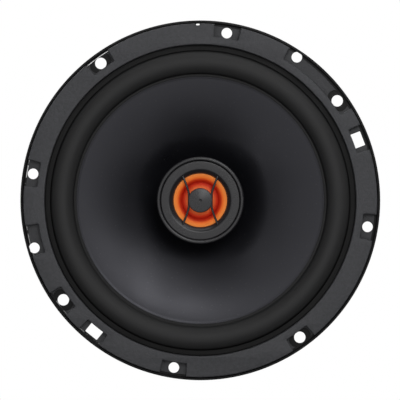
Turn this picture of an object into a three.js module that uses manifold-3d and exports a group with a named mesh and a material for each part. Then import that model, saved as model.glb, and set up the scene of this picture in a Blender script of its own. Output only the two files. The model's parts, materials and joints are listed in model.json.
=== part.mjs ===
// A coaxial car speaker: a wide-range cone driver with a small tweeter standing on its axis.
// Millimetres, +Z up. The speaker's axis is Y and its front faces -Y. The origin is the centre of
// the plane where the flange's rear face meets the panel, so y is depth behind the panel's face.
import * as THREE from 'three';
import { mergeVertices } from 'three/addons/utils/BufferGeometryUtils.js';
import Module from 'manifold-3d';

const wasm = await Module();
wasm.setup();

// ---------------------------------------------------------------- driving dimensions
const ROUND = 48;                 // sides of the large turned pieces
const FINE = 24;                  // sides of the small turned pieces
const BOND = 0.1;                 // bond line between pieces that are glued or clamped together
const CLEARANCE = 0.3;            // play around a piece that is held but not bonded

// Basket: one stamping with a turned-up rim, a flat flange, spokes and a motor seat
const OVERALL_RADIUS = 82.5;
const SHEET = 1.2;
const RIM_HEIGHT = 3.0;
const FLANGE_UNDER_ROLL = 5.1;    // how far the flange reaches in under the surround's roll
const TUB_DEPTH = 5.0;            // where the tub's wall turns into the spokes
const TUB_TAPER = 1.0;
const LEDGE_RADIUS = 46.5;        // outer edge of the flat ring that carries the spider
const SEAT_RADIUS = 38.8;         // wall of the cup between the ledge and the motor
const SEAT_TAPER = 0.9;
const SEAT_CUP_DEPTH = 8.2;       // from the ledge to the motor seat
const SEAT_BORE_PLAY = 1.3;       // wider than the top plate's bore
const SPOKES = 6;
const SPOKE_START = 30;           // degrees, anticlockwise from +X as seen from the front
const SPOKE_HALF_ANGLE = 7.5;
const WINDOW_MARGIN = 1.7;        // sheet left between a window and the bends beside it

// Fixings in the flange
const SCREW_CIRCLE_INSET = 4.75;  // from the overall radius to the screw circle
const SCREW_START = 36;
const SCREW_HOLE_RADIUS = 2.63;
const SCREW_RECESS_LENGTH = 10;
const SCREW_RECESS_DEPTH = 0.5;
const SPARE_HOLE_RADIUS = 2.45;
const SPARE_OFFSET = 45;          // degrees from each screw hole to the next spare hole
const EXTRA_HOLE_ANGLES = [56, 196];
const EXTRA_HOLE_INSET = 3.25;
const CLIP_HOLE_ANGLES = [21, 231];
const CLIP_HOLE = { across: 6.75, radial: 4.9, inset: 5.1 };
const DRAIN_SLOT = { angle: 90.8, across: 1.7, radial: 0.8, inset: 1.75 };

// Trim ring: moulded, lies on the flange inside the rim
const TRIM_WIDTH = 9.6;
const TRIM_HEIGHT = 3.7;
const TRIM_CHAMFER = 0.5;
const POCKET_DEPTH = 6.0;         // from the ring's outer edge inwards
const POCKET_HALF_ANGLE = 4.3;
const WIDE_POCKET = { from: 31.4, to: 59.5 };
const OFFSET_POCKET = { from: 188.3, to: 198.5 };

// Surround and cone
const SURROUND_LIP = 2.6;
const SURROUND_THICKNESS = 0.7;
const ROLL_WIDTH = 10.2;
const ROLL_HEIGHT = 5.0;
const ROLL_STEPS = 6;
const CONE_LIP = 1.5;             // overlap of the surround on the cone
const CONE_THICKNESS = 0.7;
const CONE_DEPTH = 16.0;
const CONE_FLARE = 1.5;           // exponent of the cone's curve
const CONE_STEPS = 5;

// Voice coil and spider
const FORMER_RADIUS = 12.7;       // inside
const FORMER_THICKNESS = 0.3;
const FORMER_LIP = 1.2;           // stands out in front of the cone's neck
const FORMER_TAIL = 0.9;          // bare former behind the winding
const WINDING_THICKNESS = 0.6;
const WINDING_HEIGHT = 11;
const DUST_RING_HEIGHT = 1.4;
const DUST_RING_PLAY = 0.6;
const SPIDER_BEHIND_NECK = 2.75;  // room for the lead tags between the cone's neck and the spider
const SPIDER_RADIUS = 41.9;
const SPIDER_THICKNESS = 0.4;
const SPIDER_WAVE = 1.3;
const SPIDER_WAVES = 5;
const SPIDER_LIP = { inner: 1.4, outer: 2.7 };

// Motor
const TOP_PLATE_RADIUS = 38;
const TOP_PLATE_HEIGHT = 4.5;
const GAP_OUTSIDE = 0.5;          // winding to top plate
const GAP_INSIDE = 0.4;           // former to pole
const MAGNET_RADIUS = 40;
const MAGNET_BORE_PLAY = 5.8;     // wider than the top plate's bore
const MAGNET_HEIGHT = 13;
const YOKE_RADIUS = 38;
const YOKE_HEIGHT = 5.5;
const YOKE_CHAMFER = 1.0;
const POLE_LEAD = 0.4;            // how far the pole stands in front of the top plate
const SEAT_RIVETS = 4;
const SEAT_RIVET_CIRCLE = 29;
const SEAT_RIVET_RADIUS = 2.0;
const RIVET_HEAD = { flare: 1.4, height: 0.8 };

// Tweeter and the post that carries it
const TWEETER_RADIUS = 19.9;
const TWEETER_FRONT = 8.3;        // in front of the panel's face
const TWEETER_REAR = 8.6;         // behind it
const TWEETER_WALL = 1.7;
const TWEETER_STRAIGHT = 2.0;     // depth where the straight side ends
const GRILLE_STEP = 0.7;          // grille face behind the housing's bead
const GRILLE_THICKNESS = 2.4;
const GRILLE_FACE_RADIUS = 14.2;
const GRILLE_BORE = 12.5;
const GRILLE_GROOVE = 0.28;
const PLUG_RADIUS = 5.6;
const PLUG_HEIGHT = 1.4;
const PLUG_CROWN = 0.7;
const BAR_RADIUS = 0.5;
const BAR_ANGLE = 54;             // of a bar's outer end, from the horizontal
const DIAPHRAGM_RADIUS = 12.2;
const DIAPHRAGM_THICKNESS = 0.3;
const TWEETER_COIL_RADIUS = 8.2;  // inside
const TWEETER_COIL_THICKNESS = 0.4;
const TWEETER_COIL_HEIGHT = 2.7;
const TWEETER_GAP = 0.3;
const TWEETER_PLATE_HEIGHT = 1.4;
const TWEETER_MAGNET_RADIUS = 7.3;
const TWEETER_MAGNET_HEIGHT = 3.4;
const TWEETER_YOKE_WALL = 3.1;
const TWEETER_YOKE_FLOOR = 1.3;
const POST_RADIUS = 4.0;
const POST_BORE = 2.0;
const POST_HEAD = { radius: 8.0, height: 1.3 };
const POST_TAIL = 0.8;            // thread left beyond the nut
const WASHER = { radius: 10, height: 0.8 };
const NUT = { flats: 13, height: 4.0 };

// Terminals, leads and crossover
const TERMINAL_ANGLE = 150;
const BOARD = { inner: 40.4, outer: 58.2, width: 21, thickness: 1.5 };
const BOARD_RIVET = { radial: 43.4, across: 7.5, radius: 1.1, head: 1.7 };
const TAB_RADIAL = 53;
const TAB_ACROSS = 6;
const TAB_THICKNESS = 0.8;
const TAB_LENGTH = 11;            // blade behind the board
const TAB_FOOT = 4.2;
const TABS = { pos: 6.3, neg: 4.8 };
const SLOT_PLAY = 0.15;
const LEAD_TAG = { angle: 20, thickness: 1.2, width: 2.4, height: 1.3 };
const TINSEL_RADIUS = 0.7;
const LEAD_RADIUS = 0.6;
const LEAD_SPACING = 0.5;         // from a tweeter lead's side to the post's axis
const WIRE_RADIUS = 0.4;
const CAPACITOR = { angle: 195, radius: 5, length: 20, chamfer: 0.8 };
const SLEEVE = { angle: 213, wall: 0.5, length: 10 };

// ---------------------------------------------------------------- derived places
const rimInner = OVERALL_RADIUS - SHEET;
const trimOuter = rimInner - CLEARANCE;
const trimInner = trimOuter - TRIM_WIDTH;
const surroundOuter = trimInner - CLEARANCE;
const rollOuter = surroundOuter - SURROUND_LIP;
const rollInner = rollOuter - ROLL_WIDTH;
const coneRadius = rollInner - BOND;
const screwCircle = OVERALL_RADIUS - SCREW_CIRCLE_INSET;
const tubRadius = rollOuter - FLANGE_UNDER_ROLL;

const surroundDepth = -SHEET - BOND - SURROUND_THICKNESS / 2;
const coneEdgeDepth = surroundDepth + SURROUND_THICKNESS / 2 + BOND + CONE_THICKNESS / 2;
const formerOuter = FORMER_RADIUS + FORMER_THICKNESS;
const coneNeck = formerOuter + BOND;
const neckDepth = coneEdgeDepth + CONE_DEPTH;
const spiderDepth = neckDepth + SPIDER_BEHIND_NECK;

const ledgeFront = spiderDepth + SPIDER_THICKNESS / 2 + BOND;
const ledgeDepth = ledgeFront + SHEET / 2;
const ledgeRear = ledgeFront + SHEET;
const seatDepth = ledgeDepth + SEAT_CUP_DEPTH;
const seatRear = seatDepth + SHEET / 2;

const topPlateFront = seatRear + BOND;
const topPlateRear = topPlateFront + TOP_PLATE_HEIGHT;
const magnetFront = topPlateRear + BOND;
const magnetRear = magnetFront + MAGNET_HEIGHT;
const yokeFront = magnetRear + BOND;
const yokeRear = yokeFront + YOKE_HEIGHT;
const poleRadius = FORMER_RADIUS - GAP_INSIDE;
const windingInner = formerOuter + BOND / 2;
const windingOuter = windingInner + WINDING_THICKNESS;
const topPlateBore = windingOuter + GAP_OUTSIDE;
const windingMiddle = topPlateFront + TOP_PLATE_HEIGHT / 2;
const seatBore = topPlateBore + SEAT_BORE_PLAY;
const magnetBore = topPlateBore + MAGNET_BORE_PLAY;

const washerFront = yokeRear + BOND;
const nutFront = washerFront + WASHER.height + BOND;
const nutRear = nutFront + NUT.height;
const postRear = nutRear + POST_TAIL;
const postHole = POST_RADIUS + CLEARANCE;

const grilleFront = -TWEETER_FRONT + GRILLE_STEP;
const grilleRear = grilleFront + GRILLE_THICKNESS;
const grilleSeat = grilleRear + BOND;
const housingBore = TWEETER_RADIUS - TWEETER_WALL;
const coilOuter = TWEETER_COIL_RADIUS + TWEETER_COIL_THICKNESS;
const cupInner = coilOuter + TWEETER_GAP;
const cupOuter = cupInner + TWEETER_YOKE_WALL;
const pocketRadius = cupOuter + CLEARANCE;
const diaphragmValley = grilleRear + 1.6;
const coilFront = diaphragmValley + DIAPHRAGM_THICKNESS;
const platePlane = coilFront + 0.4;
const tweeterMagnetFront = platePlane + TWEETER_PLATE_HEIGHT + BOND;
const cupFloor = tweeterMagnetFront + TWEETER_MAGNET_HEIGHT + BOND;
const postHeadFront = cupFloor + TWEETER_YOKE_FLOOR + BOND;
const pocketFloor = postHeadFront + POST_HEAD.height + BOND;

const boardFront = ledgeRear + BOND;
const boardRear = boardFront + BOARD.thickness;
const footRear = boardFront - CLEARANCE;
const footFront = footRear - TAB_THICKNESS;
const capacitorRadial = SEAT_RADIUS + SHEET / 2 + CLEARANCE + CAPACITOR.radius + 0.2;
const capacitorDepth = ledgeRear + CLEARANCE + CAPACITOR.radius;

// ---------------------------------------------------------------- shape helpers
const radians = (degrees) => (degrees * Math.PI) / 180;

// Merge the vertices, drop triangles of no area and turn the faces outward.
function weld(geometry) {
  geometry.deleteAttribute('normal');
  geometry.deleteAttribute('uv');
  const merged = mergeVertices(geometry, 1e-4);
  const at = merged.attributes.position;
  const index = merged.index.array;
  const kept = [];
  const [a, b, c] = [new THREE.Vector3(), new THREE.Vector3(), new THREE.Vector3()];
  let volume = 0;
  for (let i = 0; i < index.length; i += 3) {
    const [p, q, r] = [index[i], index[i + 1], index[i + 2]];
    if (p === q || q === r || r === p) continue;
    a.fromBufferAttribute(at, p);
    b.fromBufferAttribute(at, q);
    c.fromBufferAttribute(at, r);
    volume += a.dot(b.cross(c));
    kept.push(p, q, r);
  }
  if (volume < 0) kept.reverse();
  merged.setIndex(kept);
  return merged;
}

function toSolid(geometry) {
  const welded = weld(geometry);
  return new wasm.Manifold(new wasm.Mesh({
    numProp: 3,
    vertProperties: new Float32Array(welded.attributes.position.array),
    triVerts: new Uint32Array(welded.index.array),
  }));
}

function toGeometry(solid) {
  const mesh = solid.getMesh();
  const geometry = new THREE.BufferGeometry();
  geometry.setAttribute('position', new THREE.BufferAttribute(mesh.vertProperties, 3));
  geometry.setIndex(new THREE.BufferAttribute(mesh.triVerts, 1));
  return geometry;
}

function cut(geometry, cutters) {
  const solid = cutters.reduce((body, tool) => body.subtract(toSolid(tool)), toSolid(geometry));
  return toGeometry(solid);
}

function join(geometries) {
  return toGeometry(geometries.map(toSolid).reduce((body, piece) => body.add(piece)));
}

// A solid of revolution about the Y axis from [radius, y] points.
function turned(profile, sides) {
  const points = profile.map(([radius, y]) => new THREE.Vector2(radius, y));
  const onAxis = profile[0][0] === 0 && profile[profile.length - 1][0] === 0;
  if (!onAxis) points.push(points[0].clone());
  return weld(new THREE.LatheGeometry(points, sides));
}

function ring(inner, outer, front, rear, sides) {
  return turned([[inner, front], [outer, front], [outer, rear], [inner, rear]], sides);
}

function disc(radius, front, rear, sides) {
  return turned([[0, front], [radius, front], [radius, rear], [0, rear]], sides);
}

// The outline of a sheet: a midline of [radius, y] points thickened by half on each side.
function sheetOutline(midline, thickness) {
  const points = midline.map(([x, y]) => new THREE.Vector2(x, y));
  const sides = [[], []];
  points.forEach((point, i) => {
    const before = points[i].clone().sub(points[Math.max(i - 1, 0)]).normalize();
    const after = points[Math.min(i + 1, points.length - 1)].clone().sub(point).normalize();
    const along = before.clone().add(after).normalize();
    const normal = new THREE.Vector2(-along.y, along.x);
    const straight = i === 0 ? after : before;
    const mitre = thickness / 2 / Math.abs(normal.dot(new THREE.Vector2(-straight.y, straight.x)));
    sides[0].push([point.x + normal.x * mitre, point.y + normal.y * mitre]);
    sides[1].push([point.x - normal.x * mitre, point.y - normal.y * mitre]);
  });
  return [...sides[0], ...sides[1].reverse()];
}

// Pieces off the axis are made at angle 0, where +X is radial and +Z runs across, then turned.
function toAngle(geometry, degrees) {
  return geometry.rotateY(-radians(degrees));
}

function block([radial0, radial1], [y0, y1], [across0, across1]) {
  const box = new THREE.BoxGeometry(radial1 - radial0, y1 - y0, across1 - across0);
  return box.translate((radial0 + radial1) / 2, (y0 + y1) / 2, (across0 + across1) / 2);
}

// A prism along Y whose outline is drawn in X and Z, seen from the front.
function prism(outline, front, rear) {
  const shape = new THREE.Shape(outline.map(([x, z]) => new THREE.Vector2(x, z)));
  const solid = new THREE.ExtrudeGeometry(shape, { depth: rear - front, bevelEnabled: false });
  return solid.rotateX(Math.PI / 2).translate(0, rear, 0);
}

function sector(inner, outer, from, to, front, rear) {
  const steps = Math.max(1, Math.round(((to - from) * ROUND) / 360));
  const arc = (radius, start, end) => Array.from({ length: steps + 1 }, (_, i) => {
    const angle = radians(start + ((end - start) * i) / steps);
    return [radius * Math.cos(angle), radius * Math.sin(angle)];
  });
  return prism([...arc(outer, from, to), ...arc(inner, to, from)], front, rear);
}

function pin(radius, front, rear, radial, across, sides = 12) {
  return disc(radius, front, rear, sides).translate(radial, 0, across);
}

// A point from its angle and its radial, across and y values there.
function place(degrees, radial, across, y) {
  const angle = radians(degrees);
  const x = radial * Math.cos(angle) - across * Math.sin(angle);
  const z = radial * Math.sin(angle) + across * Math.cos(angle);
  return new THREE.Vector3(x, y, z);
}

function wire(points, radius, sides, steps) {
  const corners = Array.from({ length: sides }, (_, i) => {
    const angle = (2 * Math.PI * i) / sides;
    return new THREE.Vector2(radius * Math.cos(angle), radius * Math.sin(angle));
  });
  const path = new THREE.CatmullRomCurve3(points);
  const options = { steps, bevelEnabled: false, extrudePath: path };
  return weld(new THREE.ExtrudeGeometry(new THREE.Shape(corners), options));
}

const speaker = new THREE.Group();

function addPiece(name, geometry, color, roughness, metalness = 0) {
  const material = new THREE.MeshStandardMaterial({ color, roughness, metalness });
  const mesh = new THREE.Mesh(weld(geometry), material);
  mesh.name = name;
  speaker.add(mesh);
}

// ---------------------------------------------------------------- basket and trim
function screwAngles() {
  return [0, 90, 180, 270].map((turn) => SCREW_START + turn);
}

function flangeCutters() {
  const [front, rear] = [-SHEET - 1, 1];
  const cutters = [];
  for (const angle of screwAngles()) {
    cutters.push(toAngle(pin(SCREW_HOLE_RADIUS, front, rear, screwCircle, 0), angle));
    cutters.push(toAngle(pin(SPARE_HOLE_RADIUS, front, rear, screwCircle, 0), angle + SPARE_OFFSET));
    const half = SCREW_RECESS_LENGTH / 2;
    const recess = block(
      [screwCircle - SCREW_HOLE_RADIUS, screwCircle + SCREW_HOLE_RADIUS],
      [front, -SHEET + SCREW_RECESS_DEPTH],
      [-half, half],
    );
    cutters.push(toAngle(recess, angle));
  }
  for (const angle of EXTRA_HOLE_ANGLES) {
    const radial = OVERALL_RADIUS - EXTRA_HOLE_INSET;
    cutters.push(toAngle(pin(SPARE_HOLE_RADIUS, front, rear, radial, 0), angle));
  }
  for (const hole of [...CLIP_HOLE_ANGLES.map((angle) => ({ ...CLIP_HOLE, angle })), DRAIN_SLOT]) {
    const radial = OVERALL_RADIUS - hole.inset;
    const box = block(
      [radial - hole.radial / 2, radial + hole.radial / 2],
      [front, rear],
      [-hole.across / 2, hole.across / 2],
    );
    cutters.push(toAngle(box, hole.angle));
  }
  return cutters;
}

function windowCutters() {
  const inner = LEDGE_RADIUS + WINDOW_MARGIN;
  const outer = tubRadius - SHEET - WINDOW_MARGIN;
  const step = 360 / SPOKES;
  return Array.from({ length: SPOKES }, (_, i) => {
    const from = SPOKE_START + i * step + SPOKE_HALF_ANGLE;
    const to = SPOKE_START + (i + 1) * step - SPOKE_HALF_ANGLE;
    return sector(inner, outer, from, to, SHEET, ledgeRear);
  });
}

function boardRivetPlaces() {
  return [BOARD_RIVET.across, -BOARD_RIVET.across];
}

function boardRivetHole(front, rear, across) {
  const hole = pin(BOARD_RIVET.radius + BOND, front, rear, BOARD_RIVET.radial, across);
  return toAngle(hole, TERMINAL_ANGLE);
}

function seatRivetAngles() {
  return Array.from({ length: SEAT_RIVETS }, (_, i) => (360 / SEAT_RIVETS) * (i + 0.5));
}

function seatRivetHole(front, rear, angle) {
  return toAngle(pin(SEAT_RIVET_RADIUS + BOND, front, rear, SEAT_RIVET_CIRCLE, 0), angle);
}

function makeBasket() {
  const rimMiddle = OVERALL_RADIUS - SHEET / 2;
  const midline = [
    [rimMiddle, -RIM_HEIGHT],
    [rimMiddle, -SHEET / 2],
    [tubRadius, -SHEET / 2],
    [tubRadius - TUB_TAPER, TUB_DEPTH],
    [LEDGE_RADIUS, ledgeDepth],
    [SEAT_RADIUS, ledgeDepth],
    [SEAT_RADIUS - SEAT_TAPER, seatDepth],
    [seatBore, seatDepth],
  ];
  const stamping = turned(sheetOutline(midline, SHEET), ROUND);
  const rivetHoles = [
    ...boardRivetPlaces().map((across) => boardRivetHole(ledgeFront - 1, ledgeRear + 1, across)),
    ...seatRivetAngles().map((angle) => seatRivetHole(seatDepth - SHEET, seatDepth + SHEET, angle)),
  ];
  return cut(stamping, [...windowCutters(), ...flangeCutters(), ...rivetHoles]);
}

function makeTrimRing() {
  const rear = -SHEET - BOND;
  const front = rear - TRIM_HEIGHT;
  const profile = [
    [trimInner, rear],
    [trimInner, front + TRIM_CHAMFER],
    [trimInner + TRIM_CHAMFER, front],
    [trimOuter - TRIM_CHAMFER, front],
    [trimOuter, front + TRIM_CHAMFER],
    [trimOuter, rear],
  ];
  const single = [
    ...screwAngles().slice(1),
    ...screwAngles().map((angle) => angle + SPARE_OFFSET),
    ...CLIP_HOLE_ANGLES,
  ].map((angle) => ({ from: angle - POCKET_HALF_ANGLE, to: angle + POCKET_HALF_ANGLE }));
  const pockets = [...single, WIDE_POCKET, OFFSET_POCKET].map(({ from, to }) =>
    sector(trimOuter - POCKET_DEPTH, trimOuter + 1, from, to, front - 1, rear + 1));
  const { angle, across, radial, inset } = DRAIN_SLOT;
  const notchInner = OVERALL_RADIUS - inset - radial / 2 - CLEARANCE;
  const half = ((across / 2 + CLEARANCE) / trimOuter) * (180 / Math.PI);
  const notch = sector(notchInner, trimOuter + 1, angle - half, angle + half, front - 1, rear + 1);
  return cut(turned(profile, ROUND), [...pockets, notch]);
}

// ---------------------------------------------------------------- cone assembly
function makeSurround() {
  const middle = (rollInner + rollOuter) / 2;
  const roll = Array.from({ length: ROLL_STEPS + 1 }, (_, i) => {
    const angle = (Math.PI * i) / ROLL_STEPS;
    const radius = middle + (ROLL_WIDTH / 2) * Math.cos(angle);
    return [radius, surroundDepth - ROLL_HEIGHT * Math.sin(angle)];
  });
  const midline = [[surroundOuter, surroundDepth], ...roll, [rollInner - CONE_LIP, surroundDepth]];
  return turned(sheetOutline(midline, SURROUND_THICKNESS), ROUND);
}

function coneDepthAt(radius) {
  const inward = (coneRadius - radius) / (coneRadius - coneNeck);
  return coneEdgeDepth + CONE_DEPTH * inward ** CONE_FLARE;
}

// The cone has a flat lip of the surround's overlap and then curves down to the neck.
function makeCone() {
  const lip = coneRadius - CONE_LIP - BOND;
  const curve = Array.from({ length: CONE_STEPS }, (_, i) => {
    const radius = lip + ((coneNeck - lip) * (i + 1)) / CONE_STEPS;
    return [radius, coneDepthAt(radius)];
  });
  const outline = [[coneRadius, coneEdgeDepth], [lip, coneEdgeDepth], ...curve];
  const section = sheetOutline(outline, CONE_THICKNESS);
  return turned(section.map(([radius, y]) => [Math.max(radius, coneNeck), y]), ROUND);
}

function makeSpider() {
  const depth = spiderDepth;
  const start = coneNeck + SPIDER_LIP.inner;
  const end = SPIDER_RADIUS - SPIDER_LIP.outer;
  const turns = 2 * SPIDER_WAVES + 1;
  const waves = Array.from({ length: turns - 1 }, (_, i) => {
    const radius = start + ((end - start) * (i + 1)) / turns;
    return [radius, depth + (i % 2 === 0 ? SPIDER_WAVE : -SPIDER_WAVE)];
  });
  const midline = [[coneNeck, depth], [start, depth], ...waves, [end, depth], [SPIDER_RADIUS, depth]];
  return turned(sheetOutline(midline, SPIDER_THICKNESS), FINE);
}

function addConeAssembly() {
  const windingFront = windingMiddle - WINDING_HEIGHT / 2;
  const windingRear = windingMiddle + WINDING_HEIGHT / 2;
  const formerFront = neckDepth - FORMER_LIP;
  const former = ring(FORMER_RADIUS, formerOuter, formerFront, windingRear + FORMER_TAIL, FINE);
  const winding = ring(windingInner, windingOuter, windingFront, windingRear, FINE);
  const dustInner = POST_RADIUS + DUST_RING_PLAY;
  const dustFront = formerFront + BOND;
  const dust = ring(dustInner, FORMER_RADIUS - BOND, dustFront, dustFront + DUST_RING_HEIGHT, FINE);
  addPiece('surround', makeSurround(), 0x2c2c2e, 0.75);
  addPiece('cone', makeCone(), 0x2f2f32, 0.45);
  addPiece('voice_coil_former', former, 0x8a6a3a, 0.5);
  addPiece('voice_coil_winding', winding, 0xa05a2c, 0.35, 0.6);
  addPiece('dust_ring', dust, 0x18181a, 0.95);
  addPiece('spider', makeSpider(), 0xc9a25a, 0.9);
  for (const [pole, side] of [['pos', 1], ['neg', -1]]) {
    const inner = formerOuter + BOND;
    const front = neckDepth + CONE_THICKNESS + BOND;
    const tag = block(
      [inner, inner + LEAD_TAG.thickness],
      [front, front + LEAD_TAG.height],
      [-LEAD_TAG.width / 2, LEAD_TAG.width / 2],
    );
    const angle = TERMINAL_ANGLE + side * LEAD_TAG.angle;
    addPiece(`lead_tag_${pole}`, toAngle(tag, angle), 0xc0c0bc, 0.3, 0.9);
  }
}

// ---------------------------------------------------------------- motor
function rivet(radius, front, rear) {
  const head = radius + RIVET_HEAD.flare;
  const under = front - BOND;
  return turned([
    [0, under - RIVET_HEAD.height],
    [head * 0.7, under - RIVET_HEAD.height],
    [head, under - RIVET_HEAD.height / 2],
    [head, under],
    [radius, under],
    [radius, rear],
    [0, rear],
  ], 12);
}

function addMotor() {
  const rivetEnd = topPlateFront + TOP_PLATE_HEIGHT / 2;
  const holeEnds = [topPlateFront - 1, rivetEnd + BOND];
  const holes = seatRivetAngles().map((angle) => seatRivetHole(...holeEnds, angle));
  const plate = ring(topPlateBore, TOP_PLATE_RADIUS, topPlateFront, topPlateRear, FINE);
  const magnet = ring(magnetBore, MAGNET_RADIUS, magnetFront, magnetRear, FINE);
  const yoke = turned([
    [postHole, topPlateFront - POLE_LEAD],
    [poleRadius, topPlateFront - POLE_LEAD],
    [poleRadius, yokeFront],
    [YOKE_RADIUS, yokeFront],
    [YOKE_RADIUS, yokeRear - YOKE_CHAMFER],
    [YOKE_RADIUS - YOKE_CHAMFER, yokeRear],
    [postHole, yokeRear],
  ], FINE);
  addPiece('top_plate', cut(plate, holes), 0x2a2a2c, 0.4, 0.7);
  addPiece('magnet_ring', magnet, 0x3a3a3c, 0.8);
  addPiece('t_yoke', yoke, 0x26262a, 0.4, 0.7);
  seatRivetAngles().forEach((angle, i) => {
    const stake = rivet(SEAT_RIVET_RADIUS, seatDepth - SHEET / 2, rivetEnd);
    stake.translate(SEAT_RIVET_CIRCLE, 0, 0);
    addPiece(`seat_rivet_${i + 1}`, toAngle(stake, angle), 0xb0b0b4, 0.35, 0.9);
  });
}

// ---------------------------------------------------------------- tweeter
function makeTweeterHousing() {
  const front = -TWEETER_FRONT;
  const bead = { inner: housingBore + 0.5, outer: TWEETER_RADIUS - 0.5 };
  const throat = DIAPHRAGM_RADIUS + 2 * CLEARANCE;
  return turned([
    [POST_RADIUS + BOND, pocketFloor],
    [pocketRadius, pocketFloor],
    [pocketRadius, platePlane],
    [throat, platePlane],
    [throat, grilleSeat],
    [housingBore, grilleSeat],
    [housingBore, front + 0.6],
    [bead.inner, front],
    [bead.outer, front],
    [TWEETER_RADIUS, front + 0.5],
    [TWEETER_RADIUS, TWEETER_STRAIGHT],
    [TWEETER_RADIUS - 3.4, TWEETER_REAR - 3],
    [POST_RADIUS + 3.5, TWEETER_REAR],
    [POST_RADIUS + BOND, TWEETER_REAR],
  ], FINE);
}

// One moulding: the face ring, a plug in front of the diaphragm, and the two bars that carry it.
function makeTweeterGrille() {
  const outer = housingBore - GRILLE_GROOVE;
  const face = turned([
    [GRILLE_BORE, grilleRear],
    [outer, grilleRear],
    [outer, grilleFront + 0.3],
    [outer - 0.3, grilleFront],
    [GRILLE_FACE_RADIUS, grilleFront],
    [GRILLE_BORE, grilleFront + 1.4],
  ], FINE);
  const plugFront = grilleFront - 0.3;
  const plug = turned([
    [0, plugFront - PLUG_CROWN],
    [PLUG_RADIUS, plugFront],
    [PLUG_RADIUS, plugFront + PLUG_HEIGHT],
    [0, plugFront + PLUG_HEIGHT],
  ], FINE);
  const end = place(BAR_ANGLE, GRILLE_BORE + 1.1, 0, grilleFront + 0.7);
  const waist = PLUG_RADIUS - BAR_RADIUS * 0.8;
  const barDepth = grilleFront + 0.3;
  const half = [
    end,
    new THREE.Vector3(waist + (end.x - waist) * 0.4, barDepth, end.z * 0.62),
    new THREE.Vector3(waist + 0.1, barDepth, end.z * 0.31),
  ];
  const mirror = (point) => new THREE.Vector3(point.x, point.y, -point.z);
  const curve = [...half, new THREE.Vector3(waist, barDepth, 0), ...half.map(mirror).reverse()];
  const bars = [1, -1].map((hand) => wire(
    curve.map(({ x, y, z }) => new THREE.Vector3(hand * x, y, z)), BAR_RADIUS, 8, 16));
  return join([face, plug, ...bars]);
}

function makeDiaphragm() {
  const valley = TWEETER_COIL_RADIUS + TWEETER_COIL_THICKNESS / 2;
  const crest = (valley + DIAPHRAGM_RADIUS) / 2;
  const midline = [
    [0, diaphragmValley - 1.7],
    [valley * 0.5, diaphragmValley - 1.4],
    [valley * 0.82, diaphragmValley - 0.6],
    [valley, diaphragmValley],
    [valley + 0.6, diaphragmValley - 0.7],
    [crest, diaphragmValley - 1.1],
    [DIAPHRAGM_RADIUS, diaphragmValley - 0.8],
  ];
  const outline = sheetOutline(midline, DIAPHRAGM_THICKNESS);
  outline[0][0] = 0;
  outline[outline.length - 1][0] = 0;
  return turned(outline, FINE);
}

function addTweeter() {
  const coilRear = coilFront + TWEETER_COIL_HEIGHT;
  const plateRadius = TWEETER_COIL_RADIUS - TWEETER_GAP;
  const plateRear = platePlane + TWEETER_PLATE_HEIGHT;
  const magnetRearFace = tweeterMagnetFront + TWEETER_MAGNET_HEIGHT;
  const coil = ring(TWEETER_COIL_RADIUS, coilOuter, coilFront, coilRear, FINE);
  const polePlate = disc(plateRadius, platePlane, plateRear, FINE);
  const magnet = disc(TWEETER_MAGNET_RADIUS, tweeterMagnetFront, magnetRearFace, FINE);
  const cup = turned([
    [0, cupFloor],
    [cupInner, cupFloor],
    [cupInner, platePlane],
    [cupOuter, platePlane],
    [cupOuter, cupFloor + TWEETER_YOKE_FLOOR],
    [0, cupFloor + TWEETER_YOKE_FLOOR],
  ], FINE);
  const post = turned([
    [POST_BORE, postHeadFront],
    [POST_HEAD.radius, postHeadFront],
    [POST_HEAD.radius, postHeadFront + POST_HEAD.height],
    [POST_RADIUS, postHeadFront + POST_HEAD.height],
    [POST_RADIUS, postRear],
    [POST_BORE, postRear],
  ], 24);
  const washerRear = washerFront + WASHER.height;
  const washer = ring(POST_RADIUS + CLEARANCE, WASHER.radius, washerFront, washerRear, 24);
  const nutCorner = NUT.flats / 2 / Math.cos(Math.PI / 6);
  const nut = ring(POST_RADIUS + BOND, nutCorner + 1, nutFront, nutRear, 24);
  const hexagon = disc(nutCorner, nutFront, nutRear, 6);
  addPiece('tweeter_housing', makeTweeterHousing(), 0x303033, 0.6);
  addPiece('tweeter_grille', makeTweeterGrille(), 0x3a3a3d, 0.55);
  addPiece('tweeter_diaphragm', makeDiaphragm(), 0xd9692b, 0.4);
  addPiece('tweeter_voice_coil', coil, 0xa8602e, 0.35, 0.6);
  addPiece('tweeter_pole_plate', polePlate, 0x77777a, 0.35, 0.8);
  addPiece('tweeter_magnet', magnet, 0x8c8c90, 0.3, 0.9);
  addPiece('tweeter_yoke_cup', cup, 0x6f6f73, 0.35, 0.8);
  addPiece('tweeter_post', post, 0x9a9a9e, 0.35, 0.9);
  addPiece('post_washer', washer, 0xb5b5b8, 0.35, 0.9);
  addPiece('post_nut', toGeometry(toSolid(hexagon).intersect(toSolid(nut))), 0xa5a5aa, 0.35, 0.9);
}

// ---------------------------------------------------------------- terminals and crossover
function makeTab(width, across) {
  const half = TAB_THICKNESS / 2;
  const span = [across - width / 2, across + width / 2];
  const blade = block([TAB_RADIAL - half, TAB_RADIAL + half], [footFront, boardRear + TAB_LENGTH], span);
  const foot = block([TAB_RADIAL, TAB_RADIAL + TAB_FOOT], [footFront, footRear], span);
  return toAngle(join([blade, foot]), TERMINAL_ANGLE);
}

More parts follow.
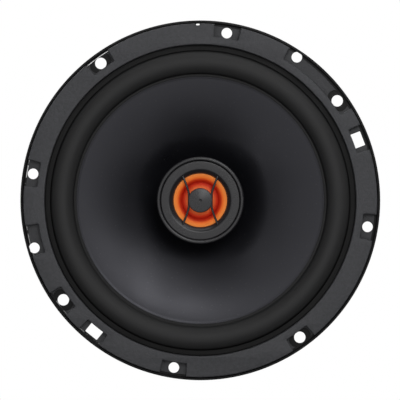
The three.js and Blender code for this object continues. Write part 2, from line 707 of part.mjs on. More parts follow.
function makeBoard() {
  const halfWidth = BOARD.width / 2;
  const board = block([BOARD.inner, BOARD.outer], [boardFront, boardRear], [-halfWidth, halfWidth]);
  const slotHalf = TAB_THICKNESS / 2 + SLOT_PLAY;
  const slots = [[TABS.pos, TAB_ACROSS], [TABS.neg, -TAB_ACROSS]].map(([width, across]) => block(
    [TAB_RADIAL - slotHalf, TAB_RADIAL + slotHalf],
    [boardFront - 1, boardRear + 1],
    [across - width / 2 - SLOT_PLAY, across + width / 2 + SLOT_PLAY],
  ));
  const ends = [boardFront - 1, boardRear + 1];
  const holes = boardRivetPlaces().map((across) => boardRivetHole(...ends, across));
  const turnedSlots = slots.map((slot) => toAngle(slot, TERMINAL_ANGLE));
  return cut(toAngle(board, TERMINAL_ANGLE), [...turnedSlots, ...holes]);
}

// A rivet with a head at the front of the ledge and one behind the board.
function makeBoardRivet(across) {
  const { radius, head, radial } = BOARD_RIVET;
  const front = ledgeFront - BOND;
  const rear = boardRear + BOND;
  const outline = turned([
    [0, front - RIVET_HEAD.height],
    [head, front - RIVET_HEAD.height],
    [head, front],
    [radius, front],
    [radius, rear],
    [head, rear],
    [head, rear + RIVET_HEAD.height],
    [0, rear + RIVET_HEAD.height],
  ], 12);
  return toAngle(outline.translate(radial, 0, across), TERMINAL_ANGLE);
}

// From the tag on the former, out between cone and spider, through a window to the tab's foot.
function makeTinselLead(side) {
  const tagDepth = neckDepth + CONE_THICKNESS + BOND + LEAD_TAG.height / 2;
  const tagOuter = formerOuter + BOND + LEAD_TAG.thickness + CLEARANCE;
  const end = footFront - CLEARANCE - TINSEL_RADIUS;
  return wire([
    place(TERMINAL_ANGLE + side * LEAD_TAG.angle, tagOuter, 0, tagDepth),
    place(TERMINAL_ANGLE, 19.5, side * 6.6, tagDepth - 1.3),
    place(TERMINAL_ANGLE, 30, side * 8.6, tagDepth - 2.9),
    place(TERMINAL_ANGLE, 42, side * 10, tagDepth - 2.1),
    place(TERMINAL_ANGLE, 50, side * 10.5, tagDepth - 0.9),
    place(TERMINAL_ANGLE, 54.4, side * 9.6, end - 0.4),
    place(TERMINAL_ANGLE, TAB_RADIAL + TAB_FOOT / 2 + 0.6, side * TAB_ACROSS, end),
  ], TINSEL_RADIUS, 6, 18);
}

// Both tweeter leads leave the post's bore, bend over the nut and run down the magnet's side.
function postExit(angle, side) {
  const offset = side * (LEAD_RADIUS + LEAD_SPACING);
  const overPlate = yokeRear + LEAD_RADIUS + CLEARANCE;
  const beside = MAGNET_RADIUS + LEAD_RADIUS + 2 * CLEARANCE;
  return [
    place(angle, 0, offset, pocketFloor + 1),
    place(angle, 0, offset, yokeFront),
    place(angle, 0, offset, postRear),
    place(angle, 2.4, offset, postRear + 2.2),
    place(angle, 7, offset, postRear + 1.6),
    place(angle, 12.5, offset, nutFront + 1.5),
    place(angle, 19, offset, overPlate),
    place(angle, YOKE_RADIUS - 3, offset, overPlate),
    place(angle, YOKE_RADIUS + 1.2, offset, overPlate - 0.5),
    place(angle, beside, offset, yokeRear - 2.4),
    place(angle, beside, offset, magnetRear - 4),
    place(angle, beside, offset, topPlateRear + 2),
  ];
}

function addTerminals() {
  addPiece('terminal_board', makeBoard(), 0x5a3a22, 0.7);
  addPiece('terminal_pos', makeTab(TABS.pos, TAB_ACROSS), 0xc9b27a, 0.3, 0.9);
  addPiece('terminal_neg', makeTab(TABS.neg, -TAB_ACROSS), 0xc9b27a, 0.3, 0.9);
  boardRivetPlaces().forEach((across, i) => {
    addPiece(`terminal_rivet_${i + 1}`, makeBoardRivet(across), 0xb0b0b4, 0.35, 0.9);
  });
  addPiece('tinsel_lead_pos', makeTinselLead(1), 0xb09a70, 0.5, 0.5);
  addPiece('tinsel_lead_neg', makeTinselLead(-1), 0xb09a70, 0.5, 0.5);
}

function addCrossover() {
  const half = CAPACITOR.length / 2;
  const can = turned([
    [0, -half],
    [CAPACITOR.radius - CAPACITOR.chamfer, -half],
    [CAPACITOR.radius, -half + CAPACITOR.chamfer],
    [CAPACITOR.radius, half - CAPACITOR.chamfer],
    [CAPACITOR.radius - CAPACITOR.chamfer, half],
    [0, half],
  ], 20).rotateX(Math.PI / 2).translate(capacitorRadial, capacitorDepth, 0);
  addPiece('crossover_capacitor', toAngle(can, CAPACITOR.angle), 0x1f2a44, 0.4);

  const tabFace = TAB_RADIAL - TAB_THICKNESS / 2 - CLEARANCE;
  const aboveBoard = boardRear + CLEARANCE;
  const leadIn = wire([
    place(CAPACITOR.angle, capacitorRadial, -half - CLEARANCE, capacitorDepth),
    place(CAPACITOR.angle, capacitorRadial, -half - 3, capacitorDepth),
    place(CAPACITOR.angle, capacitorRadial + 1.5, -half - 8, capacitorDepth - 0.4),
    place(TERMINAL_ANGLE, TAB_RADIAL - 3.6, TAB_ACROSS + 8, aboveBoard + 2),
    place(TERMINAL_ANGLE, tabFace - WIRE_RADIUS, TAB_ACROSS + 1.5, aboveBoard + 1.6),
  ], WIRE_RADIUS, 6, 18);
  addPiece('capacitor_lead_in', leadIn, 0xb8b8b8, 0.3, 0.9);

  const beside = MAGNET_RADIUS + LEAD_RADIUS + 2 * CLEARANCE;
  const sleeveRear = topPlateRear + 2;
  const sleeveFront = sleeveRear - SLEEVE.length;
  const sleeveBore = LEAD_RADIUS + BOND;
  const offset = LEAD_RADIUS + LEAD_SPACING;
  const sleeve = ring(sleeveBore, sleeveBore + SLEEVE.wall, sleeveFront + 2, sleeveRear + 2, 12);
  addPiece('splice_sleeve', toAngle(sleeve.translate(beside, 0, offset), SLEEVE.angle), 0x202022, 0.6);

  const splice = (sleeveFront + sleeveRear) / 2;
  const leadOut = wire([
    place(CAPACITOR.angle, capacitorRadial, half + CLEARANCE, capacitorDepth),
    place(CAPACITOR.angle, capacitorRadial, half + 2.2, capacitorDepth),
    place(SLEEVE.angle, beside + 0.6, offset - 0.4, capacitorDepth + 0.6),
    place(SLEEVE.angle, beside, offset, sleeveFront + 2),
    place(SLEEVE.angle, beside, offset, splice - CLEARANCE),
  ], WIRE_RADIUS, 6, 16);
  addPiece('capacitor_lead_out', leadOut, 0xb8b8b8, 0.3, 0.9);

  const live = postExit(SLEEVE.angle, 1);
  live.push(place(SLEEVE.angle, beside, offset, splice + CLEARANCE));
  addPiece('tweeter_lead_pos', wire(live, LEAD_RADIUS, 6, 30), 0x8c1d1d, 0.5);

  const back = postExit(TERMINAL_ANGLE, -1);
  back.push(
    place(TERMINAL_ANGLE, beside + 1.2, -1.2, capacitorDepth + 2),
    place(TERMINAL_ANGLE, (beside + tabFace) / 2, -TAB_ACROSS * 0.6, aboveBoard + 2.6),
    place(TERMINAL_ANGLE, tabFace - LEAD_RADIUS, -TAB_ACROSS, aboveBoard + 1.8),
  );
  addPiece('tweeter_lead_neg', wire(back, LEAD_RADIUS, 6, 34), 0x1c1c1e, 0.5);
}

addPiece('basket', makeBasket(), 0x1b1b1d, 0.25, 0.5);
addPiece('trim_ring', makeTrimRing(), 0x3f3f42, 0.65);
addConeAssembly();
addMotor();
addTweeter();
addTerminals();
addCrossover();

export default speaker;
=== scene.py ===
# %% [markdown]
# # A coaxial car speaker in Blender
#
# The measured solids of the speaker are loaded first and never touched. They say where every piece
# sits and how it moves. This notebook then gives each piece the shape and finish that the eye
# expects: rolled edges, moulded grain, corrugated cloth, threads and solder. Lengths are in
# millimetres in the text and in the shape helpers, and become metres only when a mesh is stored.

# %% Load the measured solids
import json
import math

import bmesh
import bpy
import numpy as np
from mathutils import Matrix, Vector


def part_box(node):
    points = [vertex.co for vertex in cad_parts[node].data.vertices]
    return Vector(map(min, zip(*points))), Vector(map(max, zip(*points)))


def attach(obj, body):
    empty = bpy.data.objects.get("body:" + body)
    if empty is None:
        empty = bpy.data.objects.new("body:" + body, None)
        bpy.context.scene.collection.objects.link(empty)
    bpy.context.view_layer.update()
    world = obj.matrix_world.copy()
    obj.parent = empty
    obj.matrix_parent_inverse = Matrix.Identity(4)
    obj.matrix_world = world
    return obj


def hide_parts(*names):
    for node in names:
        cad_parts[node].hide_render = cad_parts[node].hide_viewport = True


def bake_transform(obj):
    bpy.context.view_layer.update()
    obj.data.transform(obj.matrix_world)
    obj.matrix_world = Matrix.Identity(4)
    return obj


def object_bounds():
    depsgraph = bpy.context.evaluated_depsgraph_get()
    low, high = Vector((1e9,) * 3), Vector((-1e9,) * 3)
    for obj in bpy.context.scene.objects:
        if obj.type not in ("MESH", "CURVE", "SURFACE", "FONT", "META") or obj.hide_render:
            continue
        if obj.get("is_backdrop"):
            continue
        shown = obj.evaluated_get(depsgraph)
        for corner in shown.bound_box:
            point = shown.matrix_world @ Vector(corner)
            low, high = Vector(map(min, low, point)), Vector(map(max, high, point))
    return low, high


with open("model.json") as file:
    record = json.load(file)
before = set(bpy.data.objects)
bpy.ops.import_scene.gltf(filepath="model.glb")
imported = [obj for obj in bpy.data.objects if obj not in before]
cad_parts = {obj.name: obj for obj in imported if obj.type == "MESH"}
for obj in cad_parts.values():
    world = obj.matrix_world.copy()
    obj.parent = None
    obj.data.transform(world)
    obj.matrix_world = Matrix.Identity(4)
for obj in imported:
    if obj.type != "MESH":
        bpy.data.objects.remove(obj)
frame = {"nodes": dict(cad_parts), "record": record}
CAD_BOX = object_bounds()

MM = 0.001

# %% [markdown]
# ## Reading sizes from the solids
#
# Typing sizes twice invites mistakes, so radii and depths are read off the solids. Every turned
# part has its vertices exactly on its circles, so the smallest and largest distance from the Y
# axis are its bore and its outer radius. Depth is Y: negative in front of the panel, positive
# behind it.

# %% Radii and depths of a solid
class Span:
    """Bore, outer radius, front and rear of a solid, in millimetres."""

    def __init__(self, node):
        data = frame["nodes"][node].data
        points = np.array([v.co for v in data.vertices]) / MM
        distance = np.hypot(points[:, 0], points[:, 2])
        self.bore, self.radius = float(distance.min()), float(distance.max())
        self.front, self.rear = float(points[:, 1].min()), float(points[:, 1].max())
        self.middle = (self.front + self.rear) / 2


BASKET, TRIM, SURROUND, CONE = map(Span, ("basket", "trim_ring", "surround", "cone"))
print("flange radius", round(BASKET.radius, 2), "cone radius", round(CONE.radius, 2))

# %% [markdown]
# ## Shapes as points and faces
#
# A speaker is mostly turned parts. Blender's Screw modifier could spin a profile, but plain lists
# of points are easier to reason about: a profile is a closed list of (radius, depth) points, and
# one function spins it. Corners are rounded while the profile is drawn, because real pressings and
# mouldings never have knife edges, and the roundings are what catch the light.

# %% Profiles with rounded corners
JUST_UNDER_HALF = 0.49
CUT_BULGE, CUT_TAPER = 0.2, 0.5


def rounded(corners, steps=5, closed=True):
    """Replace each (a, b, fillet) corner by a short curve. Without a fillet it stays sharp."""
    points = []
    count = len(corners)
    for i, corner in enumerate(corners):
        here = np.array(corner[:2], float)
        fillet = corner[2] if len(corner) > 2 else 0.0
        end = not closed and i in (0, count - 1)
        if fillet <= 0 or end:
            points.append(tuple(here))
            continue
        before = np.array(corners[i - 1][:2], float) - here
        after = np.array(corners[(i + 1) % count][:2], float) - here
        back, onward = np.linalg.norm(before), np.linalg.norm(after)
        reach = min(fillet, JUST_UNDER_HALF * back, JUST_UNDER_HALF * onward)
        start, stop = here + before / back * reach, here + after / onward * reach
        for k in range(steps + 1):
            t = k / steps
            points.append(tuple((1 - t) ** 2 * start + 2 * t * (1 - t) * here + t * t * stop))
    return points


def sheet(midline, thickness, round_ends=True):
    """The outline of a sheet that follows a midline, with its cut edges slightly rounded."""
    line = np.array(midline, float)
    tangent = np.gradient(line, axis=0)
    tangent /= np.linalg.norm(tangent, axis=1)[:, None]
    normal = np.stack([-tangent[:, 1], tangent[:, 0]], axis=1) * thickness / 2
    one, other = line + normal, (line - normal)[::-1]
    if not round_ends:
        return [tuple(p) for p in (*one, *other)]
    stop = line[-1] + tangent[-1] * thickness * CUT_BULGE
    start = line[0] - tangent[0] * thickness * CUT_BULGE
    last, first = normal[-1] * CUT_TAPER, normal[0] * CUT_TAPER
    caps = (stop + last, stop - last), (start - first, start + first)
    return [tuple(p) for p in (*one, *caps[0], *other, *caps[1])]


print("a rounded square has", len(rounded([(0, 0, 1), (4, 0, 1), (4, 4, 1), (0, 4, 1)])), "points")

# %% Spinning, extruding and sweeping
TIP_DOME = 0.4


def circle(radius, angles, x=0.0, z=0.0):
    """Points at these angles, in degrees, on a circle round (x, z)."""
    return [(x + radius * math.cos(a), z + radius * math.sin(a)) for a in np.radians(angles)]


def all_round(count):
    """Evenly spaced angles, in degrees."""
    return 360 * np.arange(count) / count


def turned(outline, sides=192):
    """Spin a closed (radius, depth) outline about the Y axis."""
    verts, rows = [], []
    for radius, depth in outline:
        if radius < 1e-6:
            rows.append([len(verts)] * sides)
            verts.append((0.0, depth, 0.0))
            continue
        rows.append(range(len(verts), len(verts) + sides))
        verts += [(x, depth, z) for x, z in circle(radius, all_round(sides))]
    faces = []
    for i, row in enumerate(rows):
        after = rows[(i + 1) % len(rows)]
        if row[0] == row[1] and after[0] == after[1]:
            continue
        for k in range(sides):
            n = (k + 1) % sides
            faces.append(tuple(dict.fromkeys((row[k], row[n], after[n], after[k]))))
    return np.array(verts), faces


def prism(outline, front, rear):
    """Extrude a closed (x, z) outline along Y."""
    count = len(outline)
    verts = [(x, y, z) for y in (front, rear) for x, z in outline]
    sides = [(k, (k + 1) % count, count + (k + 1) % count, count + k) for k in range(count)]
    caps = [tuple(range(count)), tuple(range(2 * count - 1, count - 1, -1))]
    return np.array(verts, float), sides + caps


def lengths(path):
    """The lengths of a path's steps."""
    return np.linalg.norm(np.diff(path, axis=0), axis=1)


def spline(points, steps):
    """A smooth curve through points, its speed following the distance between them."""
    points = np.array(points, float)
    padded = np.vstack([2 * points[0] - points[1], points, 2 * points[-1] - points[-2]])
    pieces = []
    for i in range(1, len(padded) - 2):
        level = padded[i - 1:i + 3]
        knots = np.concatenate([[0], np.cumsum(lengths(level) ** 0.5)])
        t = np.linspace(knots[1], knots[2], steps, endpoint=False)[:, None]
        for first, gap in ((0, 1), (0, 2), (1, 1)):
            spans = [(knots[k + first], knots[k + first + gap]) for k in range(len(level) - 1)]
            level = [((high - t) * one + (t - low) * other) / (high - low)
                     for (low, high), one, other in zip(spans, level, level[1:])]
        pieces.append(level[0])
    return np.vstack([*pieces, points[-1:]])


def frames_along(path):
    """Two directions across a path at each of its points, carried along without twisting."""
    tangent = np.gradient(path, axis=0)
    tangent /= np.linalg.norm(tangent, axis=1)[:, None]
    start = np.array([0.0, 0.0, 1.0]) if abs(tangent[0][2]) < 0.9 else np.array([1.0, 0.0, 0.0])
    across = []
    for direction in tangent:
        start = start - direction * start.dot(direction)
        start /= np.linalg.norm(start)
        across.append(start)
    across = np.array(across)
    return across, np.cross(tangent, across)


def swept(path, radius, sides=12):
    """A round wire along a path, its ends slightly domed."""
    across, up = frames_along(path)
    ring = [c * across + s * up for c, s in circle(radius, all_round(sides))]
    verts = (path[:, None] + np.stack(ring, axis=1)).reshape(-1, 3)
    faces = []
    for i in range(len(path) - 1):
        for k in range(sides):
            n = (k + 1) % sides
            faces.append((i * sides + k, i * sides + n, (i + 1) * sides + n, (i + 1) * sides + k))
    tips = [end + (end - near) / np.linalg.norm(end - near) * radius * TIP_DOME
            for end, near in ((path[0], path[1]), (path[-1], path[-2]))]
    first, last = len(verts), len(verts) + 1
    top = (len(path) - 1) * sides
    faces += [(first, (k + 1) % sides, k) for k in range(sides)]
    faces += [(last, top + k, top + (k + 1) % sides) for k in range(sides)]
    return np.vstack([verts, tips]), faces


def merged(*shapes):
    """Several shapes as one."""
    verts, faces, base = [], [], 0
    for points, polygons in shapes:
        verts.append(points)
        faces += [tuple(base + k for k in polygon) for polygon in polygons]
        base += len(points)
    return np.vstack(verts), faces


print("a turned ring has", len(turned([(2, 0), (3, 0), (3, 1), (2, 1)], 32)[1]), "faces")

# %% [markdown]
# ## Places off the axis
#
# Terminals, rivets and holes are described the way a drawing does it: an angle around the axis,
# a distance out from it and a distance across. Angles run anticlockwise from +X, seen from the
# front.

# %% Polar places
def at_angle(shape, degrees, radial=0.0, across=0.0, depth=0.0):
    """Move a shape made at angle 0 (X out, Z across) out and across, then turn it to its angle."""
    verts, faces = shape
    x, y, z = (verts + np.array([radial, depth, across])).T
    cos, sin = math.cos(math.radians(degrees)), math.sin(math.radians(degrees))
    return np.stack([x * cos - z * sin, y, x * sin + z * cos], axis=1), faces


def place(degrees, radial, across=0.0, depth=0.0):
    """One point, given the way a drawing does."""
    return at_angle((np.zeros((1, 3)), []), degrees, radial, across, depth)[0][0]


def route(degrees, *stops):
    """Points at one angle, each given by its distance out, its distance across and its depth."""
    return [place(degrees, *stop) for stop in stops]


def rectangle(middle, size, corner=0.0, steps=5):
    """The outline of a rectangle with rounded corners."""
    (x, z), (long, wide) = middle, (size[0] / 2, size[1] / 2)
    signs = (1, 1), (-1, 1), (-1, -1), (1, -1)
    return rounded([(x + a * long, z + b * wide, corner) for a, b in signs], steps)


def sector(inner, outer, start, stop, corner, step=1.5):
    """The (x, z) outline of a ring sector, its corners rounded and its arcs cut into steps."""
    unit = math.degrees(2 / (inner + outer))
    ends = (outer, start), (outer, stop), (inner, stop), (inner, start)
    polar = rounded([(radius, angle / unit, corner) for radius, angle in ends], 4)
    outline = []
    for (radius, here), (_, following) in zip(polar, [*polar[1:], polar[0]]):
        count = max(1, int(abs(following - here) * unit / step))
        outline += circle(radius, (here + (following - here) * np.arange(count) / count) * unit)
    return outline


print("90 degrees, 10 mm out:", place(90, 10).round(2))

# %% [markdown]
# ## From shapes to Blender meshes
#
# A shape becomes a mesh in one place only, so units, normals and shading are always treated the
# same way. Edges that turn more than 32 degrees stay sharp and all others are shaded smoothly,
# which shows a fillet as a soft highlight. Holes are cut with the boolean modifier's manifold
# solver, which keeps closed bodies closed.

# %% Meshes and booleans
SHARP = math.radians(32)


def mesh_object(name, shape, scale=MM):
    verts, faces = shape
    mesh = bpy.data.meshes.new(name)
    mesh.from_pydata((np.asarray(verts) * scale).tolist(), [], [list(face) for face in faces])
    work = bmesh.new()
    work.from_mesh(mesh)
    bmesh.ops.remove_doubles(work, verts=work.verts, dist=1e-4 * scale)
    bmesh.ops.recalc_face_normals(work, faces=work.faces)
    work.to_mesh(mesh)
    work.free()
    mesh.shade_smooth()
    mesh.set_sharp_from_angle(angle=SHARP)
    thing = bpy.data.objects.new(name, mesh)
    bpy.context.scene.collection.objects.link(thing)
    return thing


def final_shape(thing):
    """The points and faces of an object after its modifiers, and the object removed."""
    solved = thing.evaluated_get(bpy.context.evaluated_depsgraph_get())
    mesh = solved.to_mesh()
    verts = np.array([v.co for v in mesh.vertices])
    faces = [tuple(p.vertices) for p in mesh.polygons]
    solved.to_mesh_clear()
    bpy.data.objects.remove(thing)
    return verts, faces


def combined(operation, shape, *others):
    """Cut, join or intersect closed shapes, one after another."""
    for other in others:
        body, tool = mesh_object("body", shape, 1.0), mesh_object("tool", other, 1.0)
        modifier = body.modifiers.new("boolean", "BOOLEAN")
        modifier.operation, modifier.solver, modifier.object = operation, "MANIFOLD", tool
        shape = final_shape(body)
        bpy.data.objects.remove(tool)
    return shape


def plate(outlines, front, rear, ease=0.15):
    """A flat plate across Y from (x, z) outlines: its edge, then its holes. Its edges are eased."""
    curve = bpy.data.curves.new("plate", "CURVE")
    curve.dimensions, curve.fill_mode = "2D", "BOTH"
    curve.extrude, curve.offset = (rear - front) / 2 - ease, -ease
    curve.bevel_depth, curve.bevel_resolution = ease, 2
    for outline in outlines:
        line = curve.splines.new("POLY")
        line.points.add(len(outline) - 1)
        for point, (x, z) in zip(line.points, outline):
            point.co = (x, z, 0.0, 1.0)
        line.use_cyclic_u = True
    thing = bpy.data.objects.new("plate", curve)
    bpy.context.scene.collection.objects.link(thing)
    verts, faces = final_shape(thing)
    return verts[:, (0, 2, 1)] + np.array([0.0, (front + rear) / 2, 0.0]), faces


block = prism(rectangle((0, 0), (4, 4)), 0, 4)
pierced = combined("DIFFERENCE", block, prism(rectangle((0, 0), (1, 1)), -1, 5))
print("a pierced block has", len(pierced[1]), "faces")

# %% [markdown]
# ## Pieces that stand for solids
#
# A finished piece rides on the same body as the solid it stands for, or on the frame, and wears a
# material named after a material slot. Soft pieces cross a joint, like a ring that is clamped
# outside and driven inside. For each of their points a share between the frame and the moving body
# is reckoned from its distance from the axis, but the share is stored nowhere and soft pieces ride
# on no body.

# %% Putting a piece in its place
BODY_OF = {}
for body, nodes in frame["record"]["behaviour"]["bodies"].items():
    BODY_OF.update(dict.fromkeys(nodes, body))


def eased(share):
    """A share from 0 to 1 that leaves and arrives gently."""
    return share * share * (3 - 2 * share)


def dressed(name, shape, finish, note=""):
    """A mesh in its finish's material, which is named after a material slot."""
    thing = mesh_object(name, shape)
    thing.data.materials.append(finish.material)
    print(name, "has", len(thing.data.polygons), "faces", note)
    return thing


def piece(name, shape, finish, *nodes):
    """A finished piece that stands for solids of one body, or an extra one on the frame."""
    thing = dressed(name, shape, finish)
    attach(thing, BODY_OF[nodes[0]] if nodes else "frame")
    if nodes:
        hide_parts(*nodes)


def soft_piece(name, shape, finish, node, held, driven):
    """A piece whose points each get a share between the frame, at one radius, and a moving body, at
    another; the share is not stored and the piece rides on no body.
    """
    thing = dressed(name, shape, finish, f"and bends between radius {held:.1f} and {driven:.1f}")
    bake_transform(thing)
    radii = np.array([math.hypot(v.co.x, v.co.z) for v in thing.data.vertices]) / MM
    share = eased(np.clip((radii - held) / (driven - held), 0, 1))
    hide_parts(node)


# %% [markdown]
# ## The camera
#
# The speaker is seen square from the front. A long lens from 1.3 m away keeps its rings round and
# concentric: a short lens close by would push the small tweeter towards the viewer. The lens
# follows from the distance and from the width that the picture should take in. The camera stands
# a fraction of a millimetre off the axis, which centres the rim in the picture.

# %% Camera
CAMERA_DISTANCE = 1.3
SEEN_WIDTH = 0.1838
SENSOR = 36.0
AIM_X, AIM_Z = -0.14, 0.15
camera_data = bpy.data.cameras.new("front_camera")
camera_data.sensor_width = SENSOR
camera_data.lens = SENSOR * CAMERA_DISTANCE / SEEN_WIDTH
camera = bpy.data.objects.new("front_camera", camera_data)
camera.location = (AIM_X * MM, -CAMERA_DISTANCE, AIM_Z * MM)
camera.rotation_euler = (math.pi / 2, 0, 0)
bpy.context.scene.collection.objects.link(camera)
bpy.context.scene.camera = camera
bpy.context.scene.view_settings.view_transform = "Standard"
print("lens", round(camera_data.lens, 1), "mm")

# %% [markdown]
# ## Shader maths as Python
#
# A node tree is a formula drawn as boxes. Wrapping a socket in a small class lets the formula be
# written as one: each operator adds the Math node it stands for. Colours are mixed with the Mix
# node instead, because a Math node would turn them grey. Every other node comes from one method,
# `add`, which takes the node's type, its settings and the values or links of its sockets.

# %% Signals and trees
class Signal:
    """A socket's output, on which arithmetic can be done."""

    def __init__(self, tree, socket):
        self.tree, self.socket = tree, socket

    def math(self, operation, *others):
        return self.tree.add("Math", {"operation": operation}, dict(enumerate((self, *others))))

    def __add__(self, other):
        return self.math("ADD", other)

    def __mul__(self, other):
        return self.math("MULTIPLY", other)

    def __sub__(self, other):
        return self.math("SUBTRACT", other)

    def __truediv__(self, other):
        return self.math("DIVIDE", other)

    def __rsub__(self, other):
        return self.tree.add("Math", {"operation": "SUBTRACT"}, {0: other, 1: self})

    __radd__, __rmul__ = __add__, __mul__

    def between(self, low, high):
        """How far the value has come from low to high, from 0 to 1, eased at both ends."""
        sockets = {"Value": self, "From Min": low, "From Max": high}
        return self.tree.add("MapRange", {"interpolation_type": "SMOOTHSTEP"}, sockets)


class Tree:
    """A node tree that is filled from Python."""

    def __init__(self, nodes):
        self.nodes = nodes
        self.nodes.nodes.clear()

    def add(self, kind, settings=None, sockets=None, output=0):
        node = self.nodes.nodes.new("ShaderNode" + kind)
        for name, value in (settings or {}).items():
            if name == "stops":
                self.set_stops(node.color_ramp, value)
            else:
                setattr(node, name, value)
        for key, value in (sockets or {}).items():
            if isinstance(value, Signal):
                self.nodes.links.new(value.socket, node.inputs[key])
            else:
                node.inputs[key].default_value = value
        return Signal(self, node.outputs[output]) if node.outputs else None

    def set_stops(self, ramp, stops):
        while len(ramp.elements) < len(stops):
            ramp.elements.new(1.0)
        for element, (position, colour) in zip(ramp.elements, stops):
            element.position = position
            element.color = (*colour, 1.0)

    def mix(self, share, one, other):
        """A colour that goes from one to the other as the share goes from 0 to 1."""
        full = [c if isinstance(c, Signal) else (*c, 1.0) for c in (one, other)]
        return self.add("Mix", {"data_type": "RGBA"}, {0: share, 6: full[0], 7: full[1]}, output=2)


# %% Finishes
class Finish(Tree):
    """A material for one of the record's slots, with places in millimetres ready to use."""

    def __init__(self, slot):
        self.slot = slot
        self.material = bpy.data.materials.new(slot)
        self.material.use_nodes = True
        super().__init__(self.material.node_tree)
        where = self.add("TexCoord", output="Object")
        self.place = self.add("VectorMath", {"operation": "SCALE"}, {0: where, "Scale": 1 / MM})
        self.x, self.y, self.z = (
            self.add("SeparateXYZ", {}, {0: self.place}, output=axis) for axis in "XYZ")
        self.radius = (self.x * self.x + self.z * self.z).math("SQRT")

    def noise(self, scale, detail=2.0, rough=0.5):
        """Cloudy noise with this many features a millimetre."""
        extent = {"Scale": scale, "Detail": detail, "Roughness": rough}
        return self.add("TexNoise", {}, {"Vector": self.place, **extent})

    def grain(self, scale):
        """Fine grain, and slow clouds that go over it."""
        return self.noise(scale, 3.0, 0.6), self.noise(0.05, 3.0)

    def specks(self, scale, size):
        """Small separate dots, 1 at their middles."""
        cells = self.add("TexVoronoi", {}, {"Vector": self.place, "Scale": scale})
        return 1 - cells.between(size * 0.4, size)

    def surface(self, colour, roughness, height=None, depth=0.02, metallic=0.0, **fixed):
        """The shader. Height from 0 to 1 stands for depth in millimetres."""
        sockets = {name.replace("_", " "): value for name, value in fixed.items()}
        sockets.update({"Base Color": colour, "Roughness": roughness, "Metallic": metallic})
        if height is not None:
            sockets["Normal"] = self.add("Bump", {}, {"Height": height, "Distance": depth * MM})
        shader = self.add("BsdfPrincipled", {}, sockets)
        self.add("OutputMaterial", {}, {"Surface": shader})
        return self


def shade(colour, factor):
    """A colour made lighter or darker by a factor."""
    return tuple(min(1.0, c * factor) for c in colour)


print("one unit of texture is one millimetre")

# %% [markdown]
# ## Light and floor
#
# The studio is plain. A broad, weak panel behind the camera lights everything evenly, and a small
# bright softbox above it, a little to the right, gives the highlights a direction. Two panels
# further up and to the right pick out the shoulder of the surround. The other three stand behind
# the flange: one shows the back of the speaker, and two strips draw its sides. Steep black
# surfaces face none of them and stay black, which is what shows the depth of the cone. The world
# is white to the camera, dim in front and brighter behind. The pale floor lies well below and
# doesn't light the piece.

# %% World
world = bpy.data.worlds.new("studio")
world.use_nodes = True
bpy.context.scene.world = world
sky = Tree(world.node_tree)
toward = sky.add("TexCoord", output="Generated")
depthward = sky.add("SeparateXYZ", {}, {0: toward}, output="Y")
upward = sky.add("SeparateXYZ", {}, {0: toward}, output="Z")
ambient = 0.03 + depthward.between(0.0, 0.7) * 0.42 + upward.between(0.3, 1.0) * 0.06
seen = sky.add("LightPath", output="Is Camera Ray")
level = ambient + seen * (1 - ambient)
white = {"Color": (1.0, 1.0, 1.0, 1.0), "Strength": level}
sky.add("OutputWorld", {}, {"Surface": sky.add("Background", {}, white)})
print("world built from", len(world.node_tree.nodes), "nodes")

# %% Softboxes
SOFTBOXES = {
    # name: width, height and distance in metres, azimuth, elevation, brightness
    "front_panel": (2.6, 2.3, 1.7, -4, 0, 0.87),
    "key_softbox": (0.27, 0.2, 0.65, 11, 20, 3.2),
    "shoulder_panel": (0.6, 0.6, 1.1, 45, 45, 1.7),
    "top_panel": (1.0, 0.8, 1.2, 10, 87, 1.3),
    "rear_softbox": (1.2, 0.9, 1.6, 205, 40, 3.4),
    "side_strip": (0.35, 1.3, 1.5, -118, 12, 2.4),
    "side_strip_right": (0.3, 1.2, 1.5, 112, 10, 1.8),
}


def softbox(name, width, height, distance, azimuth, elevation, brightness):
    """A panel that faces the speaker. Azimuth 0 is the camera's side, and right is positive."""
    across, up = math.radians(azimuth), math.radians(elevation)
    level = math.cos(up)
    direction = Vector((math.sin(across) * level, -math.cos(across) * level, math.sin(up)))
    lamp = bpy.data.lights.new(name, "AREA")
    lamp.shape, lamp.size, lamp.size_y = "RECTANGLE", width, height
    lamp.energy = brightness * math.pi * width * height
    thing = bpy.data.objects.new(name, lamp)
    thing.location = direction * distance
    thing.rotation_euler = direction.to_track_quat("Z", "Y").to_euler()
    thing.visible_camera = False
    bpy.context.scene.collection.objects.link(thing)


for name, values in SOFTBOXES.items():
    softbox(name, *values)
print(len(SOFTBOXES), "softboxes")

# %% Floor
FLOOR_DEPTH = 0.35
FLOOR_SIZE = 5.0
corners = [(x, y, -FLOOR_DEPTH) for x, y in rectangle((0, 0), (FLOOR_SIZE, FLOOR_SIZE))]
floor = mesh_object("floor", (np.array(corners), [(0, 1, 2, 3)]), 1.0)
floor.data.materials.append(bpy.data.materials.new("floor_paper"))
floor.data.materials[0].use_nodes = True
paper = Tree(floor.data.materials[0].node_tree)
tone = paper.mix(paper.add("TexNoise", {}, {"Scale": 40.0}), (0.86, 0.86, 0.86), (0.9, 0.9, 0.89))
sheen = {"Base Color": tone, "Roughness": 0.9, "Emission Color": tone, "Emission Strength": 0.72}
paper.add("OutputMaterial", {}, {"Surface": paper.add("BsdfPrincipled", {}, sheen)})
floor.visible_diffuse = floor.visible_glossy = False
floor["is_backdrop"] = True
print("the floor lies", FLOOR_DEPTH, "m below the axis")
